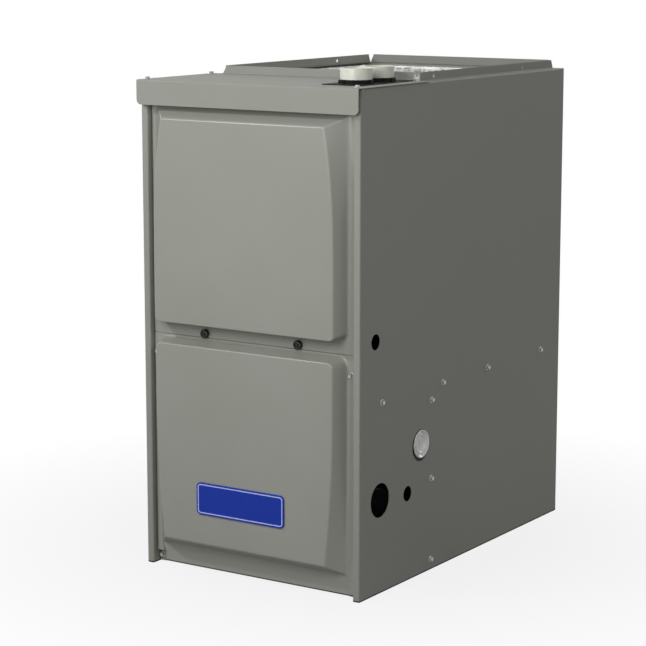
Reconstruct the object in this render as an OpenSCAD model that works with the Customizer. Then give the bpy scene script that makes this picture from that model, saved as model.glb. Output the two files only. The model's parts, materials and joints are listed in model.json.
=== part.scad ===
// Upflow condensing gas furnace: a folded sheet-steel cabinet with two front doors, a burner and
// flue compartment at the top front, the heat exchanger behind it and the blower at the bottom.
// Frame: origin at the centre of the footprint on the floor, +X to the right seen from the front,
// the front looks along -Y, +Z up. All lengths are in millimetres.

/* [Cabinet] */
// Width across the two side panels
cab_w = 444.5; // [440:0.5:460]
// Height of the side panels, without the cap sheet
cab_h = 853; // [845:1:870]
// Depth from the front posts to the back
cab_d = 714; // [708:1:730]
// Thickness of the casing sheet
sheet = 1; // [0.8:0.1:1.2]
// Inside radius of the sheet bends
bend_r = 1.5; // [1:0.1:2]
// Width of the front face of each post
post_w = 13.3; // [12:0.1:15]
// Depth of the recess that the doors sit in
post_ret = 25.3; // [24.5:0.1:26]
// Width of the inner lip that a door closes on
seat_w = 13; // [10:0.5:15]
// Width of the fold at the back corners
rear_w = 14; // [10:1:20]
// Width of the ledge round the air outlet
ledge_w = 20.3; // [18:0.1:24]
// Width of the ledge at the back of the air outlet
ledge_back = 7; // [6:0.5:10]
// Height of the duct flanges above the ledge
flange_h = 15; // [12:1:25]
// Width of the foot fold under each side panel
foot_w = 22; // [18:1:28]
// Distance from the front posts to the heat exchanger compartment
vestibule_y = 217; // [215:1:222]
// Height of the blower deck above the floor
deck_z = 336; // [334:1:342]

/* [Cap] */
// How far the cap lip stands in front of the posts
cap_out = 10; // [8:0.5:14]
// Height of the front lip of the cap
lip_h = 42.5; // [38:0.5:46]
// Overhang of the cap past each side panel
cap_over = 2; // [1:0.1:3]
// Radius of the lower corners of the lip
lip_corner = 9; // [6:0.5:12]

/* [Doors] */
// Gap between a door and each post
door_gap = 3; // [2:0.1:4]
// Depth of the folded edge of a door
door_ret = 16; // [14:0.5:16]
// Thickness of the door sheet
door_t = 1.2; // [1:0.1:1.5]
// How far the raised face stands in front of the door flange
door_rise = 30; // [24:1:34]
// Width of the flat flange beside a raised face
door_rim = 17; // [15:0.5:20]
// Height of the lower door above the floor
door_foot = 5.6; // [4:0.1:7]
// Height of the seam between the doors
seam_z = 415.8; // [412:0.1:418]
// Gap between the doors at the seam
seam_gap = 0.6; // [0.5:0.1:1]
// Depth of the flange below the upper raised face
knob_band = 28.5; // [26:0.5:32]
// Diameter of the door knobs
knob_d = 16; // [14:0.5:18]
// Distance of each knob from the middle
knob_x = 96; // [80:1:120]

/* [Pipes] */
// Socket diameter of the two pipe couplings
socket_d = 48.6; // [48.4:0.1:49]
// Distance of the pipes in from the right-hand side panel
pipe_in = 62.25; // [60.25:0.5:64.25]
// Distance of the air intake pipe behind the posts
intake_y = 85; // [82:1:88]
// Distance of the vent pipe behind the posts
vent_y = 153; // [151:1:156]

/* [Side openings] */
// Diameter of the gas pipe hole
gas_hole_d = 27; // [22:1:30]
// Diameter of the large knockout hole
big_hole_d = 59; // [50:1:62]
// Diameter of the wiring hole
wire_hole_d = 27; // [22:1:28]
// Diameter of the hole round the trap cap
trap_hole_d = 56; // [52:1:60]

/* [Heat exchanger] */
// Diameter of the primary tubes
tube_d = 44; // [40:1:46]
// Distance from the outermost burner to the vent pipe
burner_side = 64; // [62:1:66]
// Distance of the burners below the top of the side panels
burner_drop = 113; // [111:1:118]
// Height between the passes of a tube, as a share of the height above the condensing coil
pass_share = 0.31; // [0.29:0.01:0.32]

/* [Blower] */
// Outside diameter of the blower wheel
wheel_d = 241; // [230:1:245]
// Width of the blower wheel
wheel_w = 178; // [150:1:180]
// Number of blades round the wheel
blade_count = 36; // [24:1:40]
// Distance of the blower axis behind the posts
blower_y = 417; // [410:1:425]
// Height of the blower axis
blower_z = 165; // [163:1:168]
// Diameter of the blower motor
motor_d = 126; // [110:1:132]
// Diameter of the motor shaft
shaft_d = 12.7; // [10:0.1:14]

/* [Hidden] */

half_w = cab_w / 2;
in_x = half_w - sheet;                      // inner face of a side panel
front_y = -cab_d / 2;                       // front face of the posts
back_y = cab_d / 2;
cap_z = cab_h + sheet;                      // top face of the cap
seat_y = front_y + post_ret;                // front face of the lips that the doors close on
vest_y = front_y + vestibule_y;             // front face of the duct flange on the cap
flange_x = half_w - ledge_w;                // outer face of the side duct flanges
flange_z = cab_h + flange_h;
flange_back_y = back_y - ledge_back;        // outer face of the back duct flange
deck_fold = 18;                             // depth of the deck's folded edges
deck_under = deck_z - deck_fold - 1;        // what stands below the deck's folds ends here
slant = 7;                                  // slope of the ends of the duct flanges
bend_steps = 4;
smooth = 48;                                // facets of a drawn circle
fit = 0.15;                                 // radial clearance of a pin or screw
seat_gap = 0.3;                             // air between a door and what it closes on
run_gap = 0.06;                             // radial clearance of a turning shaft

// ---- Screws ----
screw_r = 1.9;
screw_head_r = 4.2;
screw_washer_r = 5.6;
screw_washer_t = 0.9;
screw_head_t = 3.6;
screw_len = 7;
screw_hole_r = screw_r + fit;
deck_screw_z = deck_z - 7;
deck_screws = [69.3, 271, 431.7, 635.9];    // along the deck, from the posts
stiff_y = 233;                              // stiffener screws, from the posts
stiff_screws = [19, 165, 304.5];
cap_screws = [6, vestibule_y - 27];         // screws along each edge of the cap, from the posts
cap_screw_x = half_w - ledge_w / 2;

// ---- Duct screws, for a mount ----
duct_hole_r = 3;
duct_hole_z = cab_h + 7;
duct_hole_front = 265.5;
duct_hole_pitch = 320;

// ---- Side openings, from the posts and the floor ----
gas_hole = [48.6, 434.3];
big_hole = [64.5, 162];
wire_hole = [154, 154];
trap_hole = [197.4, 231];

// ---- Doors ----
flange_y = seat_y - seat_gap - door_ret;    // front face of the door flanges
face_y = flange_y - door_rise;              // front face of the raised faces
door_half = half_w - post_w - door_gap;
rise_half = door_half - door_rim;           // half-width of a raised part at its foot
lip_z = cap_z - lip_h;                      // lower edge of the cap lip
upper_top = cab_h - 5;
upper_foot = seam_z + seam_gap / 2;
lower_top = seam_z - seam_gap / 2;
side_draft = 4;                             // slope of a raised part's sides
side_steps = 7;                             // points along each side of a raised part
corner_steps = 4;                           // points round each of its corners
knob_z = seam_z + 7.7;
knob_head = 7.5;                            // how far a knob stands in front of its door
knob_xs = [-knob_x, knob_x];
knob_r = knob_d / 2;
knob_stud_r = 4;
// foot, top, foot radius and top radius of the raised part at its base, then of its face, then
// how far the face draws in, where that starts and ends, and the power of its curve
upper_rise = [upper_foot + knob_band, lip_z - 4.5, 14, 3,
              upper_foot + knob_band - 3.6, lip_z - 21, 15, 3, 18.3, 550, lip_z - 21, 2.6];
lower_rise = [40.5, lower_top - 4.9, 3, 20, 58.6, lower_top - 10.6, 3, 15, 15, 320, 58.6, 2.15];
notch_w = 14;                               // corner notch of the lower door
notch_h = 23;
tab_z = [2.5, 25];                          // foot tab that shows in the notch
tab_out = 9;
tab_y = seat_y - seat_gap - tab_out;        // front face of the tabs
tab_screw = [door_half - 6, 13.5];
side_screw = [door_half - 6.5, seam_z - 33];

// ---- Badge: a blank enamelled plate ----
badge_w = 182;
badge_h = 57;
badge_t = 2.5;
badge_r = 6;
badge_x = -4.7;
badge_z = 140;

// ---- Pipes ----
pipe_x = half_w - pipe_in;
socket_r = socket_d / 2;
pipe_r = socket_r - fit;
intake_at = [pipe_x, front_y + intake_y];
vent_at = [pipe_x, front_y + vent_y];
socket_len = 25;
coupling_top = cap_z + 27;
coupling_skirt = cap_z + 8;
coupling_r = socket_r + 2.6;
spigot_r = socket_r + 1.9;
spigot_len = 22;
stop_t = 2;
stop_r = socket_r - 4;
stop_z = coupling_top - socket_len - stop_t;
collar_r = spigot_r + 2.6;
gasket_t = 1.5;
gasket_x = [pipe_x - 40, pipe_x + 36];
gasket_y = [front_y + 42, front_y + 207];

// ---- Heat exchanger compartment ----
vest_face = vest_y + sheet;                 // front face of the vestibule plate
vest_back = vest_face + sheet;
liner_t = 12;
coil_z = [deck_z + 18, deck_z + 130];
burner_z = cab_h - burner_drop;
pass_step = pass_share * (burner_z - coil_z[1]);
tube_r = tube_d / 2;
tube_pitch = (pipe_x - burner_side) / 1.5;
tube_xs = [for (i = [-1.5, -0.5, 0.5, 1.5]) i * tube_pitch];
tube_wall = 1.2;
crimp = 0.6;                                // a bend is this much wider than a straight
turn_gap = 7;                               // air between a front bend and the vestibule plate
turn_rear = back_y - 2 * sheet - liner_t - pass_step / 2 - tube_d / 2 - 5;
pass_z = [burner_z, burner_z - pass_step, burner_z - 2 * pass_step];
turn_front = vest_back + pass_step / 2 + tube_r + crimp + turn_gap;
box_rear_y = back_y - 60;                   // front face of the coupling box
box_rear_t = 46;
box_rear_w = 300;
coil_half = 140;
fin_count = 20;
fin_t = 0.8;
fin_inset = 16;                             // from the coil's end plates to its end fins
coil_tube_r = 8;
coil_cols = 6;
coil_rows = 2;
coil_places = [for (i = [0:coil_cols - 1]) for (j = [0:coil_rows - 1])
    [(i - (coil_cols - 1) / 2) * 50, mix(coil_z[0], coil_z[1], (j + 0.5) / coil_rows)]];

// ---- Collector box and inducer ----
collector_t = 36;
collector_half = half_w - 54.25;
collector_z = [deck_z + 14, deck_z + 136];
collector_y = vest_face - collector_t;      // front face of the collector box
inducer_side = 78;                          // from the vent pipe to the inducer shaft
inducer_x = pipe_x - inducer_side;
inducer_z = deck_z + 92;
inducer_r = 68;
inducer_t = 44;
inducer_y = collector_y - inducer_t;        // front face of the inducer housing
inducer_wall = 2.5;
inducer_wheel_r = 52;
inducer_shaft_r = 4;
inducer_motor_r = 42;
inducer_motor_len = 62;
pipe_foot_z = inducer_z + 40;               // lower end of the vent pipe
pressure_xs = [18 - collector_half, 88 - collector_half];   // pressure switches
pressure_z = collector_z[1] + 62;
pressure_port_y = vest_face - 16;

// ---- Burners ----
burner_box_half = tube_xs[3] + 32;
burner_box_z = [burner_z - 48, burner_z + 56];
burner_box_y = vest_face - 92;
burner_r = 15;
burner_throat_r = 9.5;
burner_len = 78;
port_r = 19;
manifold_y = burner_box_y - 18;
manifold_r = 10;
valve_x = tube_xs[0] - 64;
valve_z = burner_z - 118;
valve_size = [66, 56, 54];
valve_top = valve_z + valve_size[2] + 8;
valve_knob_at = [valve_x + 14, manifold_y - valve_size[1] / 2, valve_z + valve_size[2] / 2];
probe_z = burner_z + 33;                    // igniter and flame sensor
rollout_xs = [-70, 70];
rollout_y = burner_box_y + 34;
rollout_r = 12;
button_r = 3;
button_travel = 1.5;

// ---- Blower ----
blower_at = [front_y + blower_y, blower_z];
wheel_r = wheel_d / 2;
blade_r = wheel_r - 24;                     // inner edge of the blades
housing_half = wheel_w / 2 + 13.5;
scroll_start = 70;
scroll_r0 = wheel_r + 8;
scroll_r1 = min(wheel_r + 49, back_y - front_y - blower_y - 60);
scroll_step = 10;
outlet_y = [blower_at[0] + scroll_r0 * cos(scroll_start) + sheet,
            blower_at[0] + scroll_r1 - sheet];
inlet_r = wheel_r - 18;
inlet_lip = 9;
shaft_r = shaft_d / 2;
motor_r = motor_d / 2;
motor_x = [2, 132];
disc_x = -20;                               // centre ring of the wheel
disc_t = 2.5;
band_w = 22;
band_t = 1.5;
band_x = housing_half + 8;

// ---- Controls ----
tray_y = front_y + 150;
tray_x = [-in_x, -18];
tray_foot = 64;
board = [120, 150];                         // width and height of the control board
board_at = [-150, 185];                     // its lower left corner
board_gap = 8;
switch_x = 60;
switch_y = [face_y + 16, seat_y + sheet];   // front and back of the door switch
switch_z = seam_z - 35;
plunger_r = 3.5;

// ---- Condensate drain ----
trap_x = in_x - 84;
trap_y = [front_y + 172, front_y + 224];
trap_z = [150, 296];
trap_cap_r = 24.5;
trap_cap_out = 1.5;
trap_cap_at = [front_y + trap_hole[0] + 1.5, trap_hole[1] + 2];
hose_at = [collector_half - 12, front_y + 198];
hose_r = 9;

steel = "#8f908a";
galvanised = "#b9bdc0";
black = "#1c1c1d";
white = "#dadccb";

// ---------- Helpers ----------

function unit(v) = v / norm(v);
function left_of(v) = [-v[1], v[0]];
function turned(v, a) = [v[0] * cos(a) - v[1] * sin(a), v[0] * sin(a) + v[1] * cos(a)];
function mix(a, b, f) = a + (b - a) * f;

// Points of one bend of a folded sheet, on the path's own face (0) or on its left face (1)
function bend_points(p0, p1, p2, face) =
    let (a = unit(p1 - p0),
         b = unit(p2 - p1),
         side = sign(a[0] * b[1] - a[1] * b[0]),
         angle = acos(min(1, max(-1, a * b))),
         path_r = side > 0 ? bend_r + sheet : bend_r,
         centre = p1 - a * path_r * tan(angle / 2) + left_of(a) * side * path_r,
         r = face == 0 ? path_r : (side > 0 ? bend_r : bend_r + sheet))
    [for (i = [0:bend_steps]) centre - side * r * turned(left_of(a), side * angle * i / bend_steps)];

// Closed outline of a folded sheet whose material lies to the left of the path
function fold_outline(path) =
    let (n = len(path),
         start = left_of(unit(path[1] - path[0])) * sheet,
         end = left_of(unit(path[n - 1] - path[n - 2])) * sheet)
    concat([path[0]],
           [for (i = [1:n - 2]) each bend_points(path[i - 1], path[i], path[i + 1], 0)],
           [path[n - 1], path[n - 1] + end],
           [for (i = [n - 2:-1:1]) let (q = bend_points(path[i - 1], path[i], path[i + 1], 1))
               each [for (k = [bend_steps:-1:0]) q[k]]],
           [path[0] + start]);

module folded(path) {
    polygon(fold_outline(path));
}

// A profile drawn in (y, z) and carried along X from x0 to x1
module along_x(x0, x1) {
    translate([x0, 0, 0])
        rotate([90, 0, 90])
            linear_extrude(x1 - x0)
                children();
}

// A profile drawn in (x, z) and carried along Y from y0 to y1
module along_y(y0, y1) {
    translate([0, y1, 0])
        rotate([90, 0, 0])
            linear_extrude(y1 - y0)
                children();
}

module block(low, high) {
    translate(low)
        cube(high - low);
}

module rod_x(r, x0, x1) {
    translate([x0, 0, 0])
        rotate([0, 90, 0])
            cylinder(r = r, h = x1 - x0, $fn = smooth);
}

module rod_y(r, y0, y1) {
    translate([0, y1, 0])
        rotate([90, 0, 0])
            cylinder(r = r, h = y1 - y0, $fn = smooth);
}

module rod_z(r, z0, z1) {
    translate([0, 0, z0])
        cylinder(r = r, h = z1 - z0, $fn = smooth);
}

// Rounded plate in (x, z), from four discs and two bars
module rounded_plate(w, h, r, y0, y1) {
    for (sx = [-1, 1])
        for (sz = [-1, 1])
            translate([sx * (w / 2 - r), 0, sz * (h / 2 - r)])
                rod_y(r, y0, y1);
    block([-w / 2 + r, y0, -h / 2], [w / 2 - r, y1, h / 2]);
    block([-w / 2, y0, -h / 2 + r], [w / 2, y1, h / 2 - r]);
}

// Hex washer-head screw: its head stands on z = 0 and its shank goes down
module screw(length = screw_len) {
    cylinder(r = screw_washer_r, h = screw_washer_t, $fn = smooth);
    translate([0, 0, screw_washer_t])
        cylinder(r = screw_head_r, h = screw_head_t, $fn = 6);
    translate([0, 0, -length])
        cylinder(r = screw_r, h = length + screw_washer_t, $fn = smooth);
}

module screw_hole() {
    cylinder(r = screw_hole_r, h = 60, center = true, $fn = smooth);
}

module both_sides() {
    children();
    mirror([1, 0, 0]) children();
}

// Places its child at every side screw of the right-hand panel, outwards along +X
module at_side_screws() {
    for (d = deck_screws)
        translate([half_w, front_y + d, deck_screw_z])
            rotate([0, 90, 0])
                children();
    for (z = stiff_screws)
        translate([half_w, front_y + stiff_y, z])
            rotate([0, 90, 0])
                children();
}

module at_cap_screws() {
    for (s = [-1, 1])
        for (d = cap_screws)
            translate([s * cap_screw_x, front_y + d, cap_z])
                children();
}

// Arc of round pipe about the Z axis
module elbow(r, turn_r, angle) {
    rotate_extrude(angle = angle, $fn = smooth)
        translate([turn_r, 0])
            circle(r = r, $fn = smooth);
}

// ---------- Casing ----------

module side_opening(at, d) {
    translate([0, front_y + at[0], at[1]])
        rod_x(d / 2, in_x - 5, half_w + 5);
}

module duct_holes() {
    for (i = [0, 1])
        translate([0, front_y + duct_hole_front + i * duct_hole_pitch, duct_hole_z])
            rod_x(duct_hole_r, flange_x - 5, flange_x + 5);
}

// Wall with its post fold and rear fold, in plan
function side_plan() = [[half_w - post_w - seat_w, seat_y], [half_w - post_w, seat_y],
    [half_w - post_w, front_y], [half_w, front_y], [half_w, back_y], [half_w - rear_w, back_y]];

module side_shell() {
    top_start = cab_h - 12;
    linear_extrude(cab_h - sheet - bend_r)
        folded(side_plan());
    along_y(front_y + bend_r + sheet, flange_back_y - 1)
        folded([[half_w, top_start], [half_w, cab_h], [flange_x - sheet / 2, cab_h]]);
    intersection() {
        along_y(vest_y + 2, flange_back_y - 1)
            folded([[half_w - 8, cab_h], [flange_x, cab_h], [flange_x, flange_z]]);
        along_x(0, half_w)
            polygon([[vest_y + 2, cab_h - 5], [vest_y + 2, cab_h], [vest_y + 3, flange_z + 1],
                [flange_back_y - 1 - slant, flange_z + 1], [flange_back_y - 1, cab_h],
                [flange_back_y - 1, cab_h - 5]]);
    }
    block([half_w - foot_w, seat_y + sheet, 0], [half_w - sheet / 2, back_y - sheet, sheet]);
    block([in_x, flange_back_y - 2, top_start], [half_w, back_y - bend_r - sheet, cab_h]);
}

module door_screw_holes() {
    for (p = [side_screw, tab_screw])
        translate([p[0], 0, p[1]])
            rod_y(screw_hole_r + fit, seat_y - 5, seat_y + 5);
}

module side_cut() {
    difference() {
        side_shell();
        at_side_screws() screw_hole();
        at_cap_screws() screw_hole();
        duct_holes();
        side_opening(gas_hole, gas_hole_d);
        side_opening(big_hole, big_hole_d);
        side_opening(wire_hole, wire_hole_d);
        side_opening(trap_hole, trap_hole_d);
        door_screw_holes();
    }
}

module right_side_panel() {
    color(steel) side_cut();
}

module left_side_panel() {
    color(steel) mirror([1, 0, 0]) side_cut();
}

module back_panel() {
    y1 = back_y - sheet;
    wall_half = in_x - bend_r;
    color(steel) {
        along_x(-wall_half, wall_half)
            folded([[y1, sheet], [y1, cab_h], [flange_back_y + 1, cab_h]]);
        intersection() {
            along_x(-flange_x + 2, flange_x - 2)
                folded([[flange_back_y + 4, cab_h], [flange_back_y, cab_h],
                    [flange_back_y, flange_z]]);
            along_y(0, back_y)
                polygon([[-flange_x + 2, cab_h - 5], [-flange_x + 2, cab_h],
                    [-flange_x + 2 + slant, flange_z + 1], [flange_x - 2 - slant, flange_z + 1],
                    [flange_x - 2, cab_h], [flange_x - 2, cab_h - 5]]);
        }
    }
}

module lip_corner_cut() {
    translate([half_w + cap_over - lip_corner, 0, lip_z + lip_corner])
        difference() {
            block([0, front_y - cap_out - 1, -lip_corner - 1],
                [lip_corner + 1, front_y - cap_out + 8, 0]);
            rod_y(lip_corner, front_y - cap_out - 2, front_y - cap_out + 9);
        }
}

module top_cap() {
    cap_half = half_w + cap_over;
    lip_y = front_y - cap_out;
    upstand_left = -flange_x - 4;
    upstand_right = flange_x - 11;
    color(steel)
        difference() {
            union() {
                along_x(-cap_half, cap_half)
                    folded([[vest_y - 4, cap_z], [lip_y, cap_z], [lip_y, lip_z]]);
                intersection() {
                    along_x(-cap_half, cap_half)
                        folded([[vest_y, flange_z], [vest_y, cap_z], [vest_y - 20, cap_z]]);
                    along_y(vest_y - 30, vest_y + 5)
                        polygon([[upstand_left, cab_h - 1], [upstand_left, cap_z],
                            [upstand_left + slant + 2, flange_z + 1],
                            [upstand_right, flange_z + 1], [upstand_right, cab_h - 1]]);
                }
                for (s = [-1, 1])                     // small locating tabs over the side panels
                    block([s > 0 ? half_w : -half_w - sheet, front_y + 2, cab_h - 14],
                        [s > 0 ? half_w + sheet : -half_w, front_y + 6, cab_h + sheet / 2]);
            }
            lip_corner_cut();
            mirror([1, 0, 0]) lip_corner_cut();
            at_cap_screws() screw_hole();
            for (p = [intake_at, vent_at])
                translate([p[0], p[1], 0])
                    rod_z(spigot_r + 0.6, cab_h - 5, cap_z + 5);
        }
}

module base_rails() {
    rail_h = 32;
    rail_y = seat_y + sheet;
    color(steel) {
        difference() {
            along_x(-in_x, in_x)
                folded([[rail_y, rail_h], [rail_y, sheet], [rail_y + 34, sheet]]);
            for (s = [-1, 1])
                translate([s * tab_screw[0], 0, tab_screw[1]])
                    rod_y(screw_hole_r, seat_y - 5, seat_y + 10);
        }
        along_x(-in_x, in_x)
            folded([[back_y - 2 * sheet - 24, sheet], [back_y - 2 * sheet, sheet],
                [back_y - 2 * sheet, rail_h]]);
        foot_bracket();
        mirror([1, 0, 0]) foot_bracket();
    }
}

// Small folded bracket that shows in the corner notch of the lower door
module foot_bracket() {
    difference() {
        translate([0, 0, tab_z[0]])
            linear_extrude(tab_z[1] - tab_z[0])
                folded([[door_half - notch_w + 1.5, tab_y], [door_half, tab_y],
                    [door_half, seat_y]]);
        translate([tab_screw[0], 0, tab_screw[1]])
            rod_y(screw_hole_r, tab_y - 5, tab_y + 5);
    }
}

module bottom_closure_panel() {
    pan_half = half_w - foot_w - 2;
    lip = 14;
    y0 = seat_y + sheet + 40;
    y1 = back_y - 30;
    color(galvanised)
        difference() {
            union() {
                block([-pan_half, y0, 0], [pan_half, y1, 2 * sheet]);
                block([-pan_half - lip, y0, sheet], [pan_half + lip, y1, 2 * sheet]);
            }
            block([-pan_half + sheet, y0 + sheet, sheet],
                [pan_half - sheet, y1 - sheet, 3 * sheet]);
        }
}

// ---------- Inner panels ----------

module vestibule_panel() {
    span = in_x - bend_r;
    color(galvanised)
        difference() {
            along_x(-span, span)
                folded([[front_y + cap_screws[1] - 7, cab_h - 2 * sheet],
                    [vest_face, cab_h - 2 * sheet],
                    [vest_face, deck_z + sheet]]);
            for (x = tube_xs)
                translate([x, 0, burner_z])
                    rod_y(port_r, vest_face - 5, vest_back + 5);
            for (p = coil_places)
                translate([p[0], 0, p[1]])
                    rod_y(coil_tube_r + fit, vest_face - 5, vest_back + 5);
            at_cap_screws() screw_hole();
        }
}

module blower_deck() {
    color(galvanised)
        difference() {
            along_y(seat_y + 2 * sheet, back_y - 2 * sheet)
                folded([[in_x, deck_z - deck_fold], [in_x, deck_z + sheet],
                    [-in_x, deck_z + sheet], [-in_x, deck_z - deck_fold]]);
            block([-housing_half + sheet, outlet_y[0], deck_z - 5],
                [housing_half - sheet, outlet_y[1], deck_z + 5]);
            translate([hose_at[0], hose_at[1], 0])
                rod_z(hose_r + 2, deck_z - 5, deck_z + 5);
            both_sides() at_side_screws() screw_hole();
        }
}

module door_rail() {
    rail_z = [seam_z - 20, seam_z + 22];
    rail_y = seat_y + sheet;
    rail_half = half_w - post_w - 2;
    color(galvanised)
        difference() {
            along_x(-rail_half, rail_half)
                folded([[rail_y + 15, rail_z[1]], [rail_y, rail_z[1]], [rail_y, rail_z[0]],
                    [rail_y + 15, rail_z[0]]]);
            for (x = knob_xs)
                translate([x, 0, knob_z])
                    rod_y(knob_stud_r + 1, rail_y - 5, rail_y + 5);
        }
}

module side_stiffeners() {
    y = front_y + stiff_y;
    color(galvanised)
        both_sides()
            difference() {
                translate([0, 0, 2 * sheet])
                    linear_extrude(deck_under - 2 * sheet)
                        folded([[in_x - 14, y - 8], [in_x, y - 8], [in_x, y + 8],
                            [in_x - 14, y + 8]]);
                at_side_screws() screw_hole();
            }
}

module duct_liners() {
    liner_z = [deck_z + sheet, cab_h - 6];
    back_face = back_y - 2 * sheet;
    color("#c9ccce") {
        both_sides()
            block([in_x - liner_t, vest_back, liner_z[0]],
                [in_x, back_face - liner_t, liner_z[1]]);
        block([-in_x + bend_r, back_face - liner_t, liner_z[0]],
            [in_x - bend_r, back_face, liner_z[1]]);
    }
}

// ---------- Fasteners and plugs ----------

module cabinet_screws() {
    color(galvanised) {
        both_sides() at_side_screws() screw();
        both_sides()
            translate([tab_screw[0], tab_y, tab_screw[1]])
                rotate([90, 0, 0])
                    screw(tab_out + 4);
    }
}

module top_screws() {
    color(galvanised) at_cap_screws() screw();
}

module hole_plug(at, d) {
    translate([0, front_y + at[0], at[1]]) {
        rod_x(d / 2 + 3, -half_w - 1.6, -half_w);
        rod_x(d / 2 - fit, -half_w - 1, -in_x + 3);
    }
}

module hole_plugs() {
    color(black) {
        hole_plug(big_hole, big_hole_d);
        hole_plug(trap_hole, trap_hole_d);
    }
}

module door_screws() {
    color(galvanised)
        both_sides()
            translate([side_screw[0], flange_y, side_screw[1]])
                rotate([90, 0, 0])
                    screw(door_ret + 4);
}

// ---------- Pipes on the cap ----------

module at_pipes() {
    for (p = [intake_at, vent_at])
        translate([p[0], p[1], 0])
            children();
}

module pipe_gasket() {
    lug_count = 10;
    color(black)
        difference() {
            union() {
                block([gasket_x[0], gasket_y[0], cap_z],
                    [gasket_x[1], gasket_y[1], cap_z + gasket_t]);
                at_pipes() {
                    rod_z(collar_r - 1, cap_z, coupling_skirt);
                    for (i = [0:lug_count - 1])
                        rotate([0, 0, i * 360 / lug_count])
                            block([collar_r - 2.5, -3, cap_z + gasket_t / 2],
                                [collar_r + 1, 3, coupling_skirt - 1.5]);
                }
            }
            at_pipes() rod_z(spigot_r + fit, cap_z - 5, cap_z + 40);
        }
}

module coupling() {
    color(white)
        rotate_extrude($fn = 96)
            polygon([[socket_r, coupling_top], [coupling_r - 1, coupling_top],
                [coupling_r, coupling_top - 1], [coupling_r, coupling_skirt],
                [spigot_r, coupling_skirt], [spigot_r, stop_z - spigot_len],
                [socket_r, stop_z - spigot_len], [socket_r, stop_z], [stop_r, stop_z],
                [stop_r, stop_z + stop_t], [socket_r, stop_z + stop_t]]);
}

module intake_coupling() {
    translate([intake_at[0], intake_at[1], 0]) coupling();
}

module vent_coupling() {
    translate([vent_at[0], vent_at[1], 0]) coupling();
}

module vent_pipe() {
    color(white)
        translate([vent_at[0], vent_at[1], 0])
            difference() {
                rod_z(pipe_r, pipe_foot_z, stop_z);
                rod_z(pipe_r - 3.7, pipe_foot_z - 5, stop_z + 5);
            }
}

// ---------- Condensate drain ----------

module condensate_trap() {
    cap_y = trap_cap_at[0];
    color(black)
        difference() {
            union() {
                block([trap_x, trap_y[0] + 3, trap_z[0]], [in_x, trap_y[1] - 3, trap_z[1]]);
                block([trap_x + 8, trap_y[0], trap_z[0] + 12],
                    [in_x - 18, trap_y[1], trap_z[1] - 30]);
                translate([hose_at[0], hose_at[1], 0])
                    rod_z(hose_r + 2.5, trap_z[1] - 1, trap_z[1] + 12);
            }
            translate([0, cap_y, trap_cap_at[1]])
                rod_x(trap_cap_r - 3, in_x - 20, in_x + 5);
            translate([hose_at[0], hose_at[1], 0])
                rod_z(hose_r + fit, trap_z[1] + 2, trap_z[1] + 20);
        }
}

module trap_cap() {
    out = half_w + trap_cap_out;
    ring = 3;
    color(white)
        translate([0, trap_cap_at[0], trap_cap_at[1]])
            difference() {
                union() {
                    rod_x(trap_cap_r, in_x, out);
                    rod_x(trap_cap_r - 3 - fit, in_x - 14, in_x + 1);
                }
                difference() {
                    rod_x(trap_cap_r - ring, out - 2, out + 5);
                    rod_x(trap_cap_r - 3.5 * ring, out - 5, out + 6);
                }
                rod_x(trap_cap_r - 5.5 * ring, out - 3, out + 5);
            }
}

module drain_hose() {
    color("#3a3a3c")
        translate([hose_at[0], hose_at[1], 0])
            difference() {
                rod_z(hose_r, trap_z[1] + 2, collector_z[0]);
                rod_z(hose_r - 2.5, trap_z[1] - 5, collector_z[0] + 5);
            }
}

// ---------- Heat exchanger ----------

// Half turn of a primary tube between two passes, bulging along +Y or -Y
module return_bend(y, z_high, forward) {
    translate([0, y, z_high - pass_step / 2])
        rotate([90, 0, 90])
            rotate([0, 0, forward ? 90 : -90])
                elbow(tube_r + crimp, pass_step / 2, 180);
}

module tube_straight(z, y0, y1) {
    translate([0, 0, z])
        rod_y(tube_r, y0, y1);
}

module primary_tubes() {
    lap = 3;
    color("#a6a294")
        for (x = tube_xs)
            translate([x, 0, 0])
                difference() {
                    union() {
                        tube_straight(pass_z[0], vest_back, turn_rear + lap);
                        return_bend(turn_rear, pass_z[0], false);
                        tube_straight(pass_z[1], turn_front - lap, turn_rear + lap);
                        return_bend(turn_front, pass_z[1], true);
                        tube_straight(pass_z[2], turn_front - lap, box_rear_y + 6);
                    }
                    translate([0, 0, burner_z])
                        rod_y(tube_r - tube_wall, vest_back - 5, turn_rear - 40);
                    translate([0, 0, pass_z[1]])
                        rod_y(tube_r - tube_wall, turn_front + 40, turn_rear - 40);
                    translate([0, 0, pass_z[2]])
                        rod_y(tube_r - tube_wall, turn_front + 40, box_rear_y + 10);
                }
}

module coupling_box() {
    wall = 1.5;
    z0 = coil_z[0] - 6;
    z1 = pass_z[2] + tube_r + 12;
    rear = box_rear_y + box_rear_t;
    color("#9c988a")
        difference() {
            block([-box_rear_w / 2, box_rear_y, z0], [box_rear_w / 2, rear, z1]);
            block([-box_rear_w / 2 + wall, box_rear_y + wall, z0 + wall],
                [box_rear_w / 2 - wall, rear - wall, z1 - wall]);
            for (x = tube_xs)
                translate([x, 0, pass_z[2]])
                    rod_y(tube_r + fit, box_rear_y - 5, box_rear_y + 10);
            for (p = coil_places)
                translate([p[0], 0, p[1]])
                    rod_y(coil_tube_r + fit, box_rear_y - 5, box_rear_y + 10);
        }
}

module secondary_tubes() {
    color("#b9bcbd")
        for (p = coil_places)
            translate([p[0], 0, p[1]])
                difference() {
                    rod_y(coil_tube_r, vest_face, box_rear_y + 6);
                    rod_y(coil_tube_r - 0.8, vest_face - 5, box_rear_y + 10);
                }
}

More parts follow.
